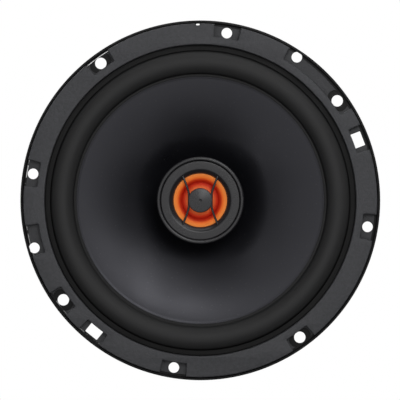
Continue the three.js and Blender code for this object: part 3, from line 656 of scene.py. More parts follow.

# %% [markdown]
# ## Moulded and painted finishes
#
# Black plastics differ less in colour than in how they scatter light. The trim ring is matte and
# visibly grained, the cone is smoother polypropylene with a soft sheen, the surround is dull
# rubber. Grain is a bump with a real depth in hundredths of a millimetre, and the same noise
# loosens the roughness a little, as it does where a mould's texture is shallower. Some light and
# shade is painted into the colours as well: a painted glint of bright metallic steel lies along the
# left of the rim's bend, painted shade darkens the floors of the trim ring's pockets, and it adds
# to the dark of the glue on the rubber's lip under the ring. The rubber's joint on the cone is
# darker with its glue.

# %% Plastics
DUST_COLOUR = (0.3, 0.29, 0.28)


def moulded(slot, colour, roughness, grain, depth, spread=0.1, **fixed):
    """A moulded or painted skin: fine grain, cloudy tone and a few specks of dust."""
    skin = Finish(slot)
    fine, cloud = skin.grain(grain)
    dust = skin.specks(0.35, 0.16)
    dark, light = (shade(colour, 1 + sign * 2.2 * spread) for sign in (-1, 1))
    tone = skin.mix(cloud * 0.6 + fine * 0.4, dark, light)
    tone = skin.mix(dust * 0.05, tone, DUST_COLOUR)
    dull = (cloud - 0.5) * 0.2 + (fine - 0.5) * 0.12 + roughness
    return skin.surface(tone, dull, fine, depth, **fixed)


CONE_PLASTIC = moulded("cone_poly", (0.0066, 0.0067, 0.0086), 0.33, 1.2, 0.02, 0.1,
                        Specular_IOR_Level=0.51, Specular_Tint=(0.9, 0.9, 1.0, 1.0))
TWEETER_PLASTIC = moulded("tweeter_plastic", (0.027, 0.0265, 0.0295), 0.26, 2.0, 0.012, 0.08)
SLEEVING = moulded("capacitor_sleeve", (0.012, 0.02, 0.07), 0.3, 0.8, 0.02, 0.08)
RED_PVC = moulded("lead_red", (0.35, 0.012, 0.012), 0.38, 1.5, 0.01, 0.05)
BLACK_PVC = moulded("lead_black", (0.012, 0.012, 0.013), 0.42, 1.5, 0.01, 0.05)
print("five moulded finishes")

# %% Paint and trim
# The painted glint: a thin band of bright metallic steel along the rim's bend, on its left, stands
# in for the reflection of the light there.
GLINT_RADIUS, GLINT_DEPTH = 80.55, -1.25
GLINT_STEEL = (0.62, 0.62, 0.62)
POCKET_SHADE_DEPTHS = (-2.7, -2.2)


def paint():
    """Black paint, with a painted glint of bright metallic steel along the left of the rim's bend.
    """
    skin = Finish("painted_steel")
    fine, cloud = skin.grain(0.9)
    beside = (skin.radius - GLINT_RADIUS).math("ABSOLUTE")
    below = (skin.y - GLINT_DEPTH).math("ABSOLUTE")
    patchy = skin.noise(0.35, 3.0).between(0.4, 0.5)
    side = (0 - skin.x).between(20, 40) * (skin.z.between(-40, 20) * 0.5 + 0.5)
    # Mask of the painted glint: patchy, at the rim's bend, on the left side only.
    painted_glint = (1 - beside.between(0.1, 0.24)) * (1 - below.between(0.2, 0.3)) * patchy * side
    tone = skin.mix(cloud * 0.6 + fine * 0.4, (0.005, 0.005, 0.0055), (0.009, 0.009, 0.0095))
    tone = skin.mix(painted_glint, tone, GLINT_STEEL)
    dull = (cloud - 0.5) * 0.2 + (fine - 0.5) * 0.1 + 0.34
    return skin.surface(tone, dull, fine, 0.012, painted_glint, Specular_IOR_Level=0.16)


def trim_plastic():
    """Coarse grained grey, darkened by painted shade at the depth of the pockets' floors."""
    skin = Finish("trim_plastic")
    fine, cloud = skin.grain(1.5)
    grain = fine * 0.4 + skin.noise(0.6, 2.0, 0.6).between(0.35, 0.65) * 0.6
    tone = skin.mix(grain * 0.6 + cloud * 0.4, (0.03, 0.031, 0.035), (0.087, 0.088, 0.096))
    # Painted shade: everything at the depth of the pockets' floors is darkened.
    tone = skin.mix(skin.y.between(*POCKET_SHADE_DEPTHS) * 0.25, tone, (0.008, 0.008, 0.008))
    return skin.surface(tone, (grain - 0.5) * 0.2 + 0.6, grain, 0.09)


PAINT, TRIM_PLASTIC = paint(), trim_plastic()
# The painted glint lies at this radius.
print("paint wears at radius", GLINT_RADIUS)

# %% Rubber
UNDER_THE_RING, ON_THE_CONE = (67.9, 68.6), (57.9, 58.7)


def rubber():
    """Dull rubber, darker at its joint on the cone's edge, and on the lip under the ring, where
    painted shade of the groove adds to the glue's dark.
    """
    skin = Finish("surround_rubber")
    fine, cloud = skin.grain(2.2)
    hidden, joined = (skin.radius.between(*span) for span in (UNDER_THE_RING, ON_THE_CONE))
    # The lip under the ring is darkened as painted shade of the groove between ring and roll, on
    # top of its glue; the joint on the cone is darker with its glue.
    glue_and_groove_shade = hidden * 0.92 + (1 - joined) * 0.5
    tone = skin.mix(cloud * 0.6 + fine * 0.4, (0.031, 0.031, 0.0315), (0.044, 0.044, 0.0445))
    tone = skin.mix(glue_and_groove_shade, tone, (0.004, 0.004, 0.004))
    return skin.surface(tone, (cloud - 0.5) * 0.2 + 0.52, fine, 0.02, Specular_IOR_Level=0.2)


RUBBER = rubber()
print("rubber for the surround")

# %% [markdown]
# ## Metals
#
# Turned and ground faces carry fine rings around the axis, so the rings are drawn from the
# distance to the axis plus the depth, which also marks the cylindrical sides. Plated parts are
# cloudy instead: zinc shows a faint patchwork of grains.

# %% Metals
def machined(slot, colour, roughness, pitch, depth, metallic=1.0):
    """Turned metal, with tool rings this many millimetres apart."""
    skin = Finish(slot)
    wander = skin.noise(0.25, 2.0)
    rings = ((skin.radius + skin.y) * (2 * math.pi / pitch) + wander * 9).math("SINE") * 0.5 + 0.5
    cloud = skin.noise(0.12, 3.0)
    tone = skin.mix(cloud * 0.7 + rings * 0.3, shade(colour, 0.72), shade(colour, 1.22))
    dull = (cloud - 0.5) * 0.25 + rings * 0.06 + roughness
    return skin.surface(tone, dull, rings, depth, metallic)


def plated(slot, colour, roughness, grain=0.8):
    """Plated or tinned metal, with faint grains and finger-dull patches."""
    skin = Finish(slot)
    grains = skin.add("TexVoronoi", {}, {"Vector": skin.place, "Scale": grain}, output="Color")
    patch = skin.add("SeparateXYZ", {}, {0: grains})
    cloud = skin.noise(0.4, 3.0)
    tone = skin.mix(patch * 0.5 + cloud * 0.5, shade(colour, 0.9), shade(colour, 1.08))
    return skin.surface(tone, (cloud - 0.5) * 0.2 + patch * 0.06 + roughness, cloud, 0.008, 1.0)


BLACK_STEEL = machined("plate_steel", (0.05, 0.05, 0.053), 0.36, 0.7, 0.006, 0.6)
NICKEL = machined("nickel", (0.6, 0.585, 0.55), 0.24, 0.5, 0.004)
ZINC = plated("zinc_steel", (0.56, 0.57, 0.6), 0.3)
TINNED_BRASS = plated("tinned_brass", (0.68, 0.6, 0.4), 0.3, 1.4)
SOLDER = plated("solder", (0.62, 0.62, 0.6), 0.24, 1.6)
print("five metals")

# %% [markdown]
# ## Ferrite, cloth, felt, film and laminate
#
# These have a structure of their own. Ferrite is a ground ceramic with tiny chips. The spider is
# open cotton cloth stiffened with amber resin: two sets of threads at right angles, drawn across
# the whole part because it is pressed from flat cloth. The diaphragm is a glossy orange film that
# looks deep red wherever it is folded, since light there bounces from orange to orange. A faint
# emission stands for these bounces, which few samples would catch.

# %% Ferrite and felt
def ferrite():
    skin = Finish("ferrite")
    grain = skin.noise(0.9, 4.0, 0.65)
    chips = skin.specks(0.22, 0.2)
    tone = skin.mix(grain, (0.05, 0.049, 0.049), (0.09, 0.089, 0.087))
    tone = skin.mix(chips * 0.5, tone, (0.15, 0.147, 0.142))
    return skin.surface(tone, grain * 0.25 + 0.52, grain - chips * 0.6, 0.05)


def felt():
    skin = Finish("felt")
    fibres = skin.noise(3.0, 5.0, 0.75)
    tone = skin.mix(fibres, (0.004, 0.004, 0.004), (0.035, 0.034, 0.033))
    return skin.surface(tone, 0.95, fibres, 0.25, Sheen_Weight=0.4)


FERRITE, FELT = ferrite(), felt()
print("ferrite and felt")

# %% Cloth and braid
THREAD_PITCH = 0.62


def spider_cloth():
    skin = Finish("spider_cloth")
    waves = [(axis * (math.pi / THREAD_PITCH)).math("SINE") for axis in (skin.x, skin.z)]
    warp, weft = (wave.math("ABSOLUTE") for wave in waves)
    weave = warp.math("MAXIMUM", weft) * 0.7 + waves[0] * waves[1] * 0.3
    resin = skin.noise(0.12, 3.0)
    tone = skin.mix(weave, (0.16, 0.075, 0.015), (0.56, 0.35, 0.1))
    tone = skin.mix(resin.between(0.4, 0.7) * 0.5, tone, (0.3, 0.15, 0.03))
    return skin.surface(tone, 0.85 - resin * 0.3, weave, 0.14, Sheen_Weight=0.15)


def braid():
    skin = Finish("tinsel_braid")
    strands = ((skin.x + skin.y + skin.z) * (2 * math.pi / 0.45)).math("SINE") * 0.5 + 0.5
    wear = skin.noise(0.6, 3.0)
    tone = skin.mix(strands * 0.7 + wear * 0.3, (0.3, 0.14, 0.06), (0.78, 0.55, 0.36))
    return skin.surface(tone, wear * 0.25 + 0.25, strands, 0.05, 0.9)


SPIDER_CLOTH, BRAID = spider_cloth(), braid()
print("threads every", THREAD_PITCH, "mm")

# %% Films, winding and laminate
def winding():
    skin = Finish("winding_copper")
    turns = (skin.y * (2 * math.pi / 0.42)).math("SINE") * 0.5 + 0.5
    cloud = skin.noise(0.3, 2.0)
    tone = skin.mix(turns * 0.6 + cloud * 0.4, (0.35, 0.1, 0.03), (0.8, 0.34, 0.14))
    return skin.surface(tone, cloud * 0.15 + 0.22, turns, 0.04, 0.85, Coat_Weight=0.5)


def former_film():
    skin = Finish("former_film")
    cloud = skin.noise(0.2, 3.0)
    tone = skin.mix(cloud, (0.26, 0.12, 0.03), (0.42, 0.22, 0.07))
    return skin.surface(tone, cloud * 0.15 + 0.25, cloud, 0.02, Coat_Weight=0.3)


def laminate():
    skin = Finish("board_laminate")
    fibre = skin.noise(0.7, 4.0, 0.7)
    grid = (skin.x * 4).math("SINE") * (skin.z * 4).math("SINE") * 0.25 + 0.5
    tone = skin.mix(fibre * 0.6 + grid * 0.4, (0.075, 0.03, 0.012), (0.19, 0.09, 0.04))
    return skin.surface(tone, fibre * 0.2 + 0.42, fibre, 0.03)


COPPER, FORMER_FILM, LAMINATE = winding(), former_film(), laminate()
print("three more finishes")

# %% Diaphragm film
DIAPHRAGM = Span("tweeter_diaphragm")
# The bands paint light and shade into the film's colour: deep red for the shade and orange bounces
# in the valley, bright orange for the light on the outer roll and the dome.
FILM_LIGHT_AND_SHADE = [
    (0.0, (0.9, 0.2, 0.045)), (0.48, (0.9, 0.15, 0.03)), (0.6, (0.66, 0.03, 0.004)),
    (0.69, (0.38, 0.003, 0.0)), (0.77, (0.6, 0.025, 0.001)), (0.86, (1.0, 0.19, 0.015)),
    (0.97, (1.0, 0.29, 0.045)),
]


def diaphragm_film():
    skin = Finish("diaphragm_film")
    share = skin.radius / DIAPHRAGM.radius
    bands = skin.add("ValToRGB", {"stops": FILM_LIGHT_AND_SHADE}, {"Fac": share})
    cloud = skin.noise(0.5, 2.0)
    tone = skin.mix(cloud * 0.12, bands, (0.6, 0.1, 0.02))
    # The faint emission in the bands' colour is a painted glow for the bounced light.
    return skin.surface(tone, cloud * 0.1 + 0.44, cloud, 0.01, 0.1, Specular_IOR_Level=0.3,
                        Emission_Color=bands, Emission_Strength=0.14)


FILM = diaphragm_film()
print("the film has", len(FILM_LIGHT_AND_SHADE), "bands")

# %% [markdown]
# ## Reading the holes off the flange
#
# The flange's holes come from the measured basket, not from a list. The vertices on the flange's
# rear plane that lie between its edges belong to holes, so they are gathered into clusters: four
# vertices make a rectangle and more make a circle. The slots around the screw holes, which are
# pressed half a millimetre into the flange's front, are not read off: each round hole wide enough
# for a screw gets a slot of a given length.

# %% Holes in the flange
BOND = 0.1
SHEET = 1.2
NEARLY_ROUND = 0.98
FLANGE_INNER = 66


def clusters(points, reach):
    """Groups of points whose neighbours are within reach of each other."""
    groups = []
    for point in points:
        near = [g for g in groups if min(math.dist(point, other) for other in g) < reach]
        groups = [g for g in groups if g not in near]
        groups.append([point, *(other for g in near for other in g)])
    return groups


class Hole:
    """A hole through the flange: its angle, distance out and size, in millimetres and degrees."""

    def __init__(self, points):
        corners = np.array(points)
        x, z = (corners.min(0) + corners.max(0)) / 2 if len(points) > 4 else corners.mean(0)
        self.angle, self.radial = math.degrees(math.atan2(z, x)) % 360, math.hypot(x, z)
        self.round = len(points) > 4
        angle = math.radians(self.angle)
        out = corners @ np.array([math.cos(angle), math.sin(angle)]) - self.radial
        across = corners @ np.array([-math.sin(angle), math.cos(angle)])
        self.height, self.width = float(np.ptp(out)), float(np.ptp(across))

    def cutter(self, front, rear, play=0.0, length=0.0, corner=0.4):
        """A prism through the hole, wider by play all round and stretched across to a length."""
        high, wide = self.height / 2 + play, max(self.width / 2 + play, length / 2)
        if self.round and not length:
            outline = circle(high, all_round(48))
        else:
            corner = high * NEARLY_ROUND if self.round else corner
            outline = rectangle((0, 0), (2 * high, 2 * wide), corner, 8)
        return at_angle(prism(outline, front, rear), self.angle, self.radial)


flange = [v.co / MM for v in frame["nodes"]["basket"].data.vertices]
inside = {(p.x, p.z) for p in flange
          if abs(p.y) < 0.01 and FLANGE_INNER < math.hypot(p.x, p.z) < BASKET.radius - 0.5}
HOLES = [Hole(group) for group in clusters(sorted(inside), 7) if len(group) >= 4]
HOLES.sort(key=lambda hole: hole.angle)
SLOT_LENGTH = 10.0
for hole in HOLES:
    hole.screw = hole.round and hole.height > 5.1
    print(round(hole.angle, 1), round(hole.radial, 2), "round" if hole.round else "square",
          round(hole.width, 2), round(hole.height, 2), "screw" if hole.screw else "")

# %% [markdown]
# ## The basket
#
# One steel pressing carries everything. Its profile is drawn as the middle of the sheet, from the
# turned-up rim over the flange, down the tub to the ledge for the spider, and down again to the
# motor seat. Each bend gets the radius a press tool would give it. The six spokes are stiffened
# by embossed ribs, made by pushing the wall outwards between the windows.

# %% Profile of the pressing
SPIDER, BOARD, TOP_PLATE = map(Span, ("spider", "terminal_board", "top_plate"))
SPOKES = 6
SPOKE_START = 30
SPOKE_HALF = 7.5
TUB_RADIUS, TUB_DEPTH, TUB_TAPER = 63.4, 5.0, 1.0
LEDGE_RADIUS, LEDGE_REAR = 46.5, BOARD.front - BOND
SEAT_RADIUS, SEAT_REAR = 38.8, TOP_PLATE.front - BOND
SEAT_TAPER, SEAT_BORE = 0.9, TOP_PLATE.bore + 1.3
WINDOW_INNER, WINDOW_OUTER = LEDGE_RADIUS + 1.7, TUB_RADIUS - SHEET - 1.7
half_sheet = SHEET / 2
middle = rounded([
    (BASKET.radius - half_sheet, BASKET.front + 0.24),
    (BASKET.radius - half_sheet, -half_sheet, 1.3),
    (TUB_RADIUS, -half_sheet, 1.8),
    (TUB_RADIUS - TUB_TAPER, TUB_DEPTH, 3.5),
    (LEDGE_RADIUS, LEDGE_REAR - half_sheet, 3),
    (SEAT_RADIUS, LEDGE_REAR - half_sheet, 1.8),
    (SEAT_RADIUS - SEAT_TAPER, SEAT_REAR - half_sheet, 1.8),
    (SEAT_BORE, SEAT_REAR - half_sheet),
], 8, closed=False)
print("the sheet's middle has", len(middle), "points")

# %% Ribs, windows and holes
RIB_HALF, RIB_HEIGHT = 3.6, 1.1
PRESSED, THROUGH = (-3, -0.7), (-2.2, 2)


def ribbed(shape):
    """Push the wall outwards along the middle of each spoke."""
    verts, faces = shape
    radius = np.hypot(verts[:, 0], verts[:, 2])
    angle = np.degrees(np.arctan2(verts[:, 2], verts[:, 0])) - SPOKE_START
    step = 360 / SPOKES
    aside = np.abs((angle + step / 2) % step - step / 2) * math.pi / 180 * radius
    across = np.clip(1 - aside / RIB_HALF, 0, 1)
    along = np.clip(np.minimum(radius - LEDGE_RADIUS - 1.5, TUB_RADIUS - 3 - radius) / 2.5, 0, 1)
    push = RIB_HEIGHT * eased(across) * eased(along)
    push *= (verts[:, 1] > 1) & (verts[:, 1] < LEDGE_REAR + 1)
    verts = verts.copy()
    verts[:, 1] += push
    return verts, faces


def window(index):
    start = SPOKE_START + index * 360 / SPOKES + SPOKE_HALF
    outline = sector(WINDOW_INNER, WINDOW_OUTER, start, start + 360 / SPOKES - 2 * SPOKE_HALF, 2.2)
    return prism(outline, 1.2, LEDGE_REAR + 3)


def place_of(node):
    """Angle and distance out of the middle of a solid off the axis."""
    low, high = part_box(node)
    x, z = (low.x + high.x) / 2 / MM, (low.z + high.z) / 2 / MM
    return math.degrees(math.atan2(z, x)), math.hypot(x, z)


windows = merged(*(window(i) for i in range(SPOKES)))
slots = merged(*(hole.cutter(*PRESSED, length=SLOT_LENGTH) for hole in HOLES if hole.screw))
holes = merged(*(hole.cutter(*THROUGH) for hole in HOLES))
pressing = combined("DIFFERENCE", ribbed(turned(sheet(middle, SHEET), 288)), windows, slots, holes)
piece("basket_pressing", pressing, PAINT, "basket")

# %% [markdown]
# ## The trim ring
#
# The grey moulded ring hides the flange. Around each hole it has a pocket that is open towards
# the rim, with a thin floor that leaves the hole, or the slot of a screw hole, showing. The ring is
# a flat outline with eased edges, so Blender's filled curve with a bevel makes it directly. The
# pockets' ends are read off the measured ring: between two corners at the pocket's inner radius
# there is a pocket if a probe along the axis finds nothing to hit.

# %% Pockets of the trim ring
from mathutils.bvhtree import BVHTree

POCKET_INNER = TRIM.radius - 6.0
solid = frame["nodes"]["trim_ring"].data
sides = [tuple(p.vertices) for p in solid.polygons]
probe = BVHTree.FromPolygons([v.co / MM for v in solid.vertices], sides)
corners = sorted({
    round(math.degrees(math.atan2(v.co.z, v.co.x)) % 360, 2)
    for v in solid.vertices if abs(math.hypot(v.co.x, v.co.z) / MM - POCKET_INNER) < 0.02})
POCKETS = []
for start, stop in zip(corners, [*corners[1:], corners[0] + 360]):
    x, _, z = place((start + stop) / 2, POCKET_INNER + 2)
    if probe.ray_cast(Vector((x, -20, z)), Vector((0, 1, 0)))[0] is None:
        if POCKETS and abs(POCKETS[-1][1] - start) < 0.02:
            start = POCKETS.pop()[0]
        POCKETS.append((start, stop))
print("pockets:", *(f"{start:.1f}-{stop:.1f}" for start, stop in POCKETS))

# %% Ring and pocket floors
POCKET_FLOOR = 0.7
THROUGH_THE_RING = (-6, 1)
RING_STEPS = 240


def arc(radius, start, stop, step=1.2):
    count = max(1, round(abs(stop - start) / step))
    return circle(radius, np.linspace(start, stop, count + 1))


def ring_outline():
    """The ring's outer edge, which steps in at every pocket."""
    outline = []
    for (start, stop), (following, _) in zip(POCKETS, [*POCKETS[1:], (POCKETS[0][0] + 360, 0)]):
        inner, outer = arc(POCKET_INNER, start, stop), arc(TRIM.radius, stop, following)
        for path, corner in ((inner, 0.7), (outer, 0.3)):
            outline += [(*path[0], corner), *path[1:-1], (*path[-1], corner)]
    return rounded(outline, 4)


def floor_plate(start, stop):
    """The thin floor of one pocket, cut away around the holes under it."""
    under = [hole for hole in HOLES if start - 1 < hole.angle < stop + 1]
    low, high = start - 0.3, stop + 0.3
    edge = arc(POCKET_INNER - 0.6, low, high) + arc(TRIM.radius - 0.8, high, low)
    solid_floor = prism(edge, TRIM.rear - POCKET_FLOOR, TRIM.rear)
    cutters = [hole.cutter(*THROUGH_THE_RING, 0.25, SLOT_LENGTH + 0.5 if hole.screw else 0)
               for hole in under]
    return combined("DIFFERENCE", solid_floor, *cutters)


inner_edge = circle(TRIM.bore, all_round(RING_STEPS))
ring = plate([ring_outline(), inner_edge], TRIM.front, TRIM.rear, 0.4)
drain = [hole.cutter(*THROUGH_THE_RING, 0.3) for hole in HOLES if hole.width < 3]
ring = combined("DIFFERENCE", ring, *drain)
floors = [floor_plate(start, stop) for start, stop in POCKETS]
piece("trim_moulding", combined("UNION", ring, *floors), TRIM_PLASTIC, "trim_ring")

# %% [markdown]
# ## Surround and cone
#
# The surround is a half roll of rubber with a flat lip on each side. The cone is one smooth curve
# that steepens towards the neck, and that curve decides where the light and the dark fall on it.
# Both are thin sheets, so each is a midline with a thickness, spun about the axis.

# %% Surround
ROLL_OUTER, ROLL_INNER, ROLL_HEIGHT = SURROUND.radius - 2.6, CONE.radius + BOND, 5.0
SURROUND_THICKNESS = 0.7
lip_depth = SURROUND.rear - SURROUND_THICKNESS / 2
centre, reach = (ROLL_OUTER + ROLL_INNER) / 2, (ROLL_OUTER - ROLL_INNER) / 2
swing = np.radians(np.linspace(14, 166, 40))
roll = [(centre + reach * math.cos(a), lip_depth - ROLL_HEIGHT * math.sin(a)) for a in swing]
bulge = SURROUND_THICKNESS * CUT_BULGE
corners = [(SURROUND.radius - bulge, lip_depth), (ROLL_OUTER, lip_depth, 0.8), *roll,
           (ROLL_INNER, lip_depth, 0.8), (SURROUND.bore + bulge, lip_depth)]
section = sheet(rounded(corners, 6, closed=False), SURROUND_THICKNESS)
soft_piece("surround_roll", turned(section, RING_STEPS), RUBBER, "surround",
           ROLL_OUTER, ROLL_INNER)

# %% Cone
CONE_THICKNESS, CONE_FLARE, CONE_DEPTH = 0.7, 1.5, 16.0
edge_depth = SURROUND.rear + BOND + CONE_THICKNESS / 2
lip = CONE.radius - 1.6
slope = CONE.radius - CONE.bore
curve = [(r, edge_depth + CONE_DEPTH * ((CONE.radius - r) / slope) ** CONE_FLARE)
         for r in np.linspace(lip - 0.4, CONE.bore + 0.16, 60)]
bulge = CONE_THICKNESS * CUT_BULGE
corners = [(CONE.radius - bulge, edge_depth), (lip, edge_depth, 0.6), *curve]
section = sheet(rounded(corners, 4, closed=False), CONE_THICKNESS)
piece("cone_moulding", turned(section, RING_STEPS), CONE_PLASTIC, "cone")

# %% [markdown]
# ## The tweeter
#
# The small driver stands on the post in the middle. Its housing is a cup with a rounded bead, and
# the grille in it is one moulding: a face ring, and a plug held by two bent bars. Behind the plug
# the orange diaphragm rises in a dome, dips to the valley where its coil is glued, and rises
# again to the clamped edge.

# %% Housing
HOUSING, GRILLE = Span("tweeter_housing"), Span("tweeter_grille")
COIL, CUP, POST = map(Span, ("tweeter_voice_coil", "tweeter_yoke_cup", "tweeter_post"))
seat = HOUSING.radius - 1.7
plate_plane = Span("tweeter_pole_plate").front
pocket = CUP.radius + 0.3
POST_HEAD_HEIGHT = 1.3
pocket_floor = CUP.rear + BOND + POST_HEAD_HEIGHT + BOND
throat = DIAPHRAGM.radius + 0.6
housing = rounded([
    (HOUSING.bore, pocket_floor),
    (pocket, pocket_floor),
    (pocket, plate_plane),
    (throat, plate_plane),
    (throat, GRILLE.rear + BOND),
    (seat, GRILLE.rear + BOND, 0.2),
    (seat, HOUSING.front, 0.85),
    (HOUSING.radius, HOUSING.front, 0.85),
    (HOUSING.radius, 2.0, 2.5),
    (HOUSING.radius - 3.4, HOUSING.rear - 3, 3.0),
    (POST.radius - 0.5, HOUSING.rear, 1.2),
    (HOUSING.bore, HOUSING.rear, 0.3),
], 8)
piece("tweeter_housing_moulding", turned(housing, 144), TWEETER_PLASTIC, "tweeter_housing")

# %% Grille
FACE_FRONT = GRILLE.front + 1.0
FACE_INNER, MOUTH, GROOVE = 14.2, 12.5, 0.28
PLUG_RADIUS, PLUG_CROWN, BAR_RADIUS, BAR_ANGLE = 5.6, 0.7, 0.5, 54
face = rounded([
    (MOUTH, GRILLE.rear, 0.2),
    (seat - GROOVE, GRILLE.rear),
    (seat - GROOVE, FACE_FRONT, 0.3),
    (FACE_INNER, FACE_FRONT, 0.7),
    (MOUTH, FACE_FRONT + 1.4, 0.5),
], 6)
plug_front = GRILLE.front + PLUG_CROWN
plug = rounded([
    (0.0, plug_front + 1.4), (PLUG_RADIUS, plug_front + 1.4, 0.3), (PLUG_RADIUS, plug_front, 0.45),
    (0.7, GRILLE.front + 0.1, 0.4), (0.35, GRILLE.front + 0.35, 0.2), (0.0, GRILLE.front + 0.45),
], 6)
end = place(BAR_ANGLE, MOUTH + 1.1, 0, FACE_FRONT + 0.7)
waist = PLUG_RADIUS - BAR_RADIUS * 0.8
bar_depth = FACE_FRONT + 0.3
half_bar = [end, np.array([waist + (end[0] - waist) * 0.4, bar_depth, end[2] * 0.62]),
            np.array([waist + 0.1, bar_depth, end[2] * 0.31])]
down = [p * np.array([1, 1, -1]) for p in reversed(half_bar)]
bar_path = spline([*half_bar, np.array([waist, bar_depth, 0.0]), *down], 8)
bars = [swept(bar_path * np.array([hand, 1, 1]), BAR_RADIUS, 16) for hand in (1, -1)]
grille = combined("UNION", turned(face, 144), turned(plug, 96), *bars)
piece("tweeter_grille_moulding", grille, TWEETER_PLASTIC, "tweeter_grille")

# %% Diaphragm
FILM_THICKNESS = 0.2
FILM_DOME, FILM_ROLL = 1.75, 1.2
valley = (COIL.bore + COIL.radius) / 2
valley_depth = DIAPHRAGM.rear - 0.3
dome = [(valley * t, valley_depth - FILM_DOME * (1 - t ** 2.2) ** 0.75)
        for t in np.linspace(0.0, 0.97, 24)]
spread = DIAPHRAGM.radius - valley
outer = [(valley + spread * t, valley_depth - FILM_ROLL * math.sin(math.pi * 0.62 * t) ** 0.75)
         for t in np.linspace(0.06, 1.0, 24)]
film = rounded([*dome, (valley, valley_depth, 0.5), *outer], 5, closed=False)
outline = sheet(film, FILM_THICKNESS, round_ends=False)
on_axis = (0, len(outline) - 1)
outline = [(0.0 if i in on_axis else max(r, 0.02), d) for i, (r, d) in enumerate(outline)]
soft_piece("tweeter_film", turned(outline, 144), FILM, "tweeter_diaphragm",
           DIAPHRAGM.radius - 0.2, DIAPHRAGM.radius - 2.2)

# %% [markdown]
# ## Spider
#
# The spider is a disc of pressed cloth. It keeps the voice coil in the middle of its gap and lets
# it move along the axis. Its corrugations run out flat towards the glued edges, so the wave is
# eased to nothing over the first and the last half turn. It is clamped outside and driven inside,
# like the surround.

# %% Corrugated disc
WAVE_HEIGHT, HALF_WAVES, CLOTH = 1.3, 11, 0.4
WAVE_START, WAVE_END = SPIDER.bore + 1.4, SPIDER.radius - 2.7


def corrugation(share):
    """The wave's height between its start and its end, from -1 to 1."""
    turns = HALF_WAVES * min(max(share, 0.0), 1.0)
    height = math.cos(math.pi * (turns - 1))
    if turns < 1:
        return (height + 1) / 2
    return (height - 1) / 2 if turns > HALF_WAVES - 1 else height


bulge, span = CLOTH * CUT_BULGE, WAVE_END - WAVE_START
line = [(r, SPIDER.middle + WAVE_HEIGHT * corrugation((r - WAVE_START) / span))
        for r in np.linspace(SPIDER.bore + bulge, SPIDER.radius - bulge, 120)]
soft_piece("spider_cloth_disc", turned(sheet(line, CLOTH), 192), SPIDER_CLOTH, "spider",
           WAVE_END, WAVE_START)

# %% [markdown]
# ## Voice coil
#
# The former is a tube of amber film, and one enamelled wire is wound on it side by side. The
# outside of the winding is therefore a row of small beads, one for each turn. They are drawn in the
# profile, so the ridges are real and don't depend on a bump. The felt ring in its mouth keeps dust
# out of the gap. Its surface is uneven, from a random generator with a fixed seed.

# %% Former and winding
def ridged(span, wire, sides):
    """A winding: smooth inside, with a bead for each turn outside."""
    height = span.rear - span.front
    count = round(height / wire)
    bead = height / count / 2
    outline = [(span.bore, span.rear), (span.bore, span.front)]
    for turn in range(count):
        middle = span.front + (2 * turn + 1) * bead
        outline += circle(bead, (-72, -36, 0, 36, 72), span.radius - bead, middle)
    return turned(outline, sides)


def tube(span, corner, sides=144):
    """A plain turned ring of a solid's own size, with rounded corners."""
    size = span.radius - span.bore, span.rear - span.front
    return turned(rectangle(((span.bore + span.radius) / 2, span.middle), size, corner), sides)


FORMER, WINDING, DUST = map(Span, ("voice_coil_former", "voice_coil_winding", "dust_ring"))
COIL_WIRE, TWEETER_WIRE = 0.42, 0.2
piece("former_tube", tube(FORMER, 0.1), FORMER_FILM, "voice_coil_former")
piece("coil_winding", ridged(WINDING, COIL_WIRE, 144), COPPER, "voice_coil_winding")
piece("tweeter_coil_winding", ridged(COIL, TWEETER_WIRE, 96), COPPER, "tweeter_voice_coil")

# %% Felt ring
FUZZ, FUZZ_ROOM = 0.07, 0.08
fuzz = np.random.default_rng(7)
steps = np.linspace(DUST.bore + 0.1, DUST.radius - 0.1, 14)
front = [(r, DUST.front + FUZZ_ROOM) for r in steps]
rear = [(r, DUST.rear - FUZZ_ROOM) for r in steps[::-1]]
felt_ring = [(DUST.bore, DUST.middle), *front, (DUST.radius, DUST.middle), *rear]
verts, faces = turned(felt_ring, 120)
verts = verts + fuzz.uniform(-FUZZ, FUZZ, (len(verts), 3)) * np.array([0.3, 1, 0.3])
piece("dust_felt", (verts, faces), FELT, "dust_ring")

# %% [markdown]
# ## Lead tags
#
# The tinsel leads end in two small tags on the former. Each is a bent strip under a blob of solder,
# and a blob is a turned dome laid over to face outwards.

# %% Solder and tags
def lying(shape, direction):
    """A shape made about the Y axis, laid along the radial or the across direction."""
    verts, faces = shape
    order = {"radial": (1, 0, 2), "across": (0, 2, 1)}[direction]
    return verts[:, order], faces


def blob(radius, height, sides=32):
    """A dome of solder with a hollow skirt, standing on y = 0 and pointing to +Y."""
    outline = [(0.0, 0.0), (radius, 0.0), (radius * 0.98, height * 0.06)]
    for t in np.linspace(0.0, 0.94, 9):
        swing = t * math.pi / 2
        outline.append((radius * (0.84 - 0.1 * t) * math.cos(swing) ** 0.8,
                        height * (0.12 + 0.88 * math.sin(swing))))
    return turned([*outline, (0.0, height)], sides)


TAG_WIDTH, TAG_DEPTH = 2.4, 1.3
for pole in ("pos", "neg"):
    node = "lead_tag_" + pole
    tag = Span(node)
    strip = prism(rectangle((-0.225, 0), (0.65, TAG_WIDTH), 0.3), tag.front, tag.rear)
    drop = at_angle(lying(blob(0.64, 0.9), "radial"), 0, -0.35, 0, tag.middle)
    joint = at_angle(merged(strip, drop), *place_of(node))
    piece("lead_joint_" + pole, joint, SOLDER, node)

# %% [markdown]
# ## Motor
#
# A ring magnet of ferrite sits between two steel plates. The rear plate and the pole are one
# forging, the yoke. Ferrite is brittle, so its edges are ground to a chamfer. The plates are
# stamped and turned, which leaves a soft edge and a shallow groove in the yoke's back, where the
# eye otherwise finds only a flat disc.

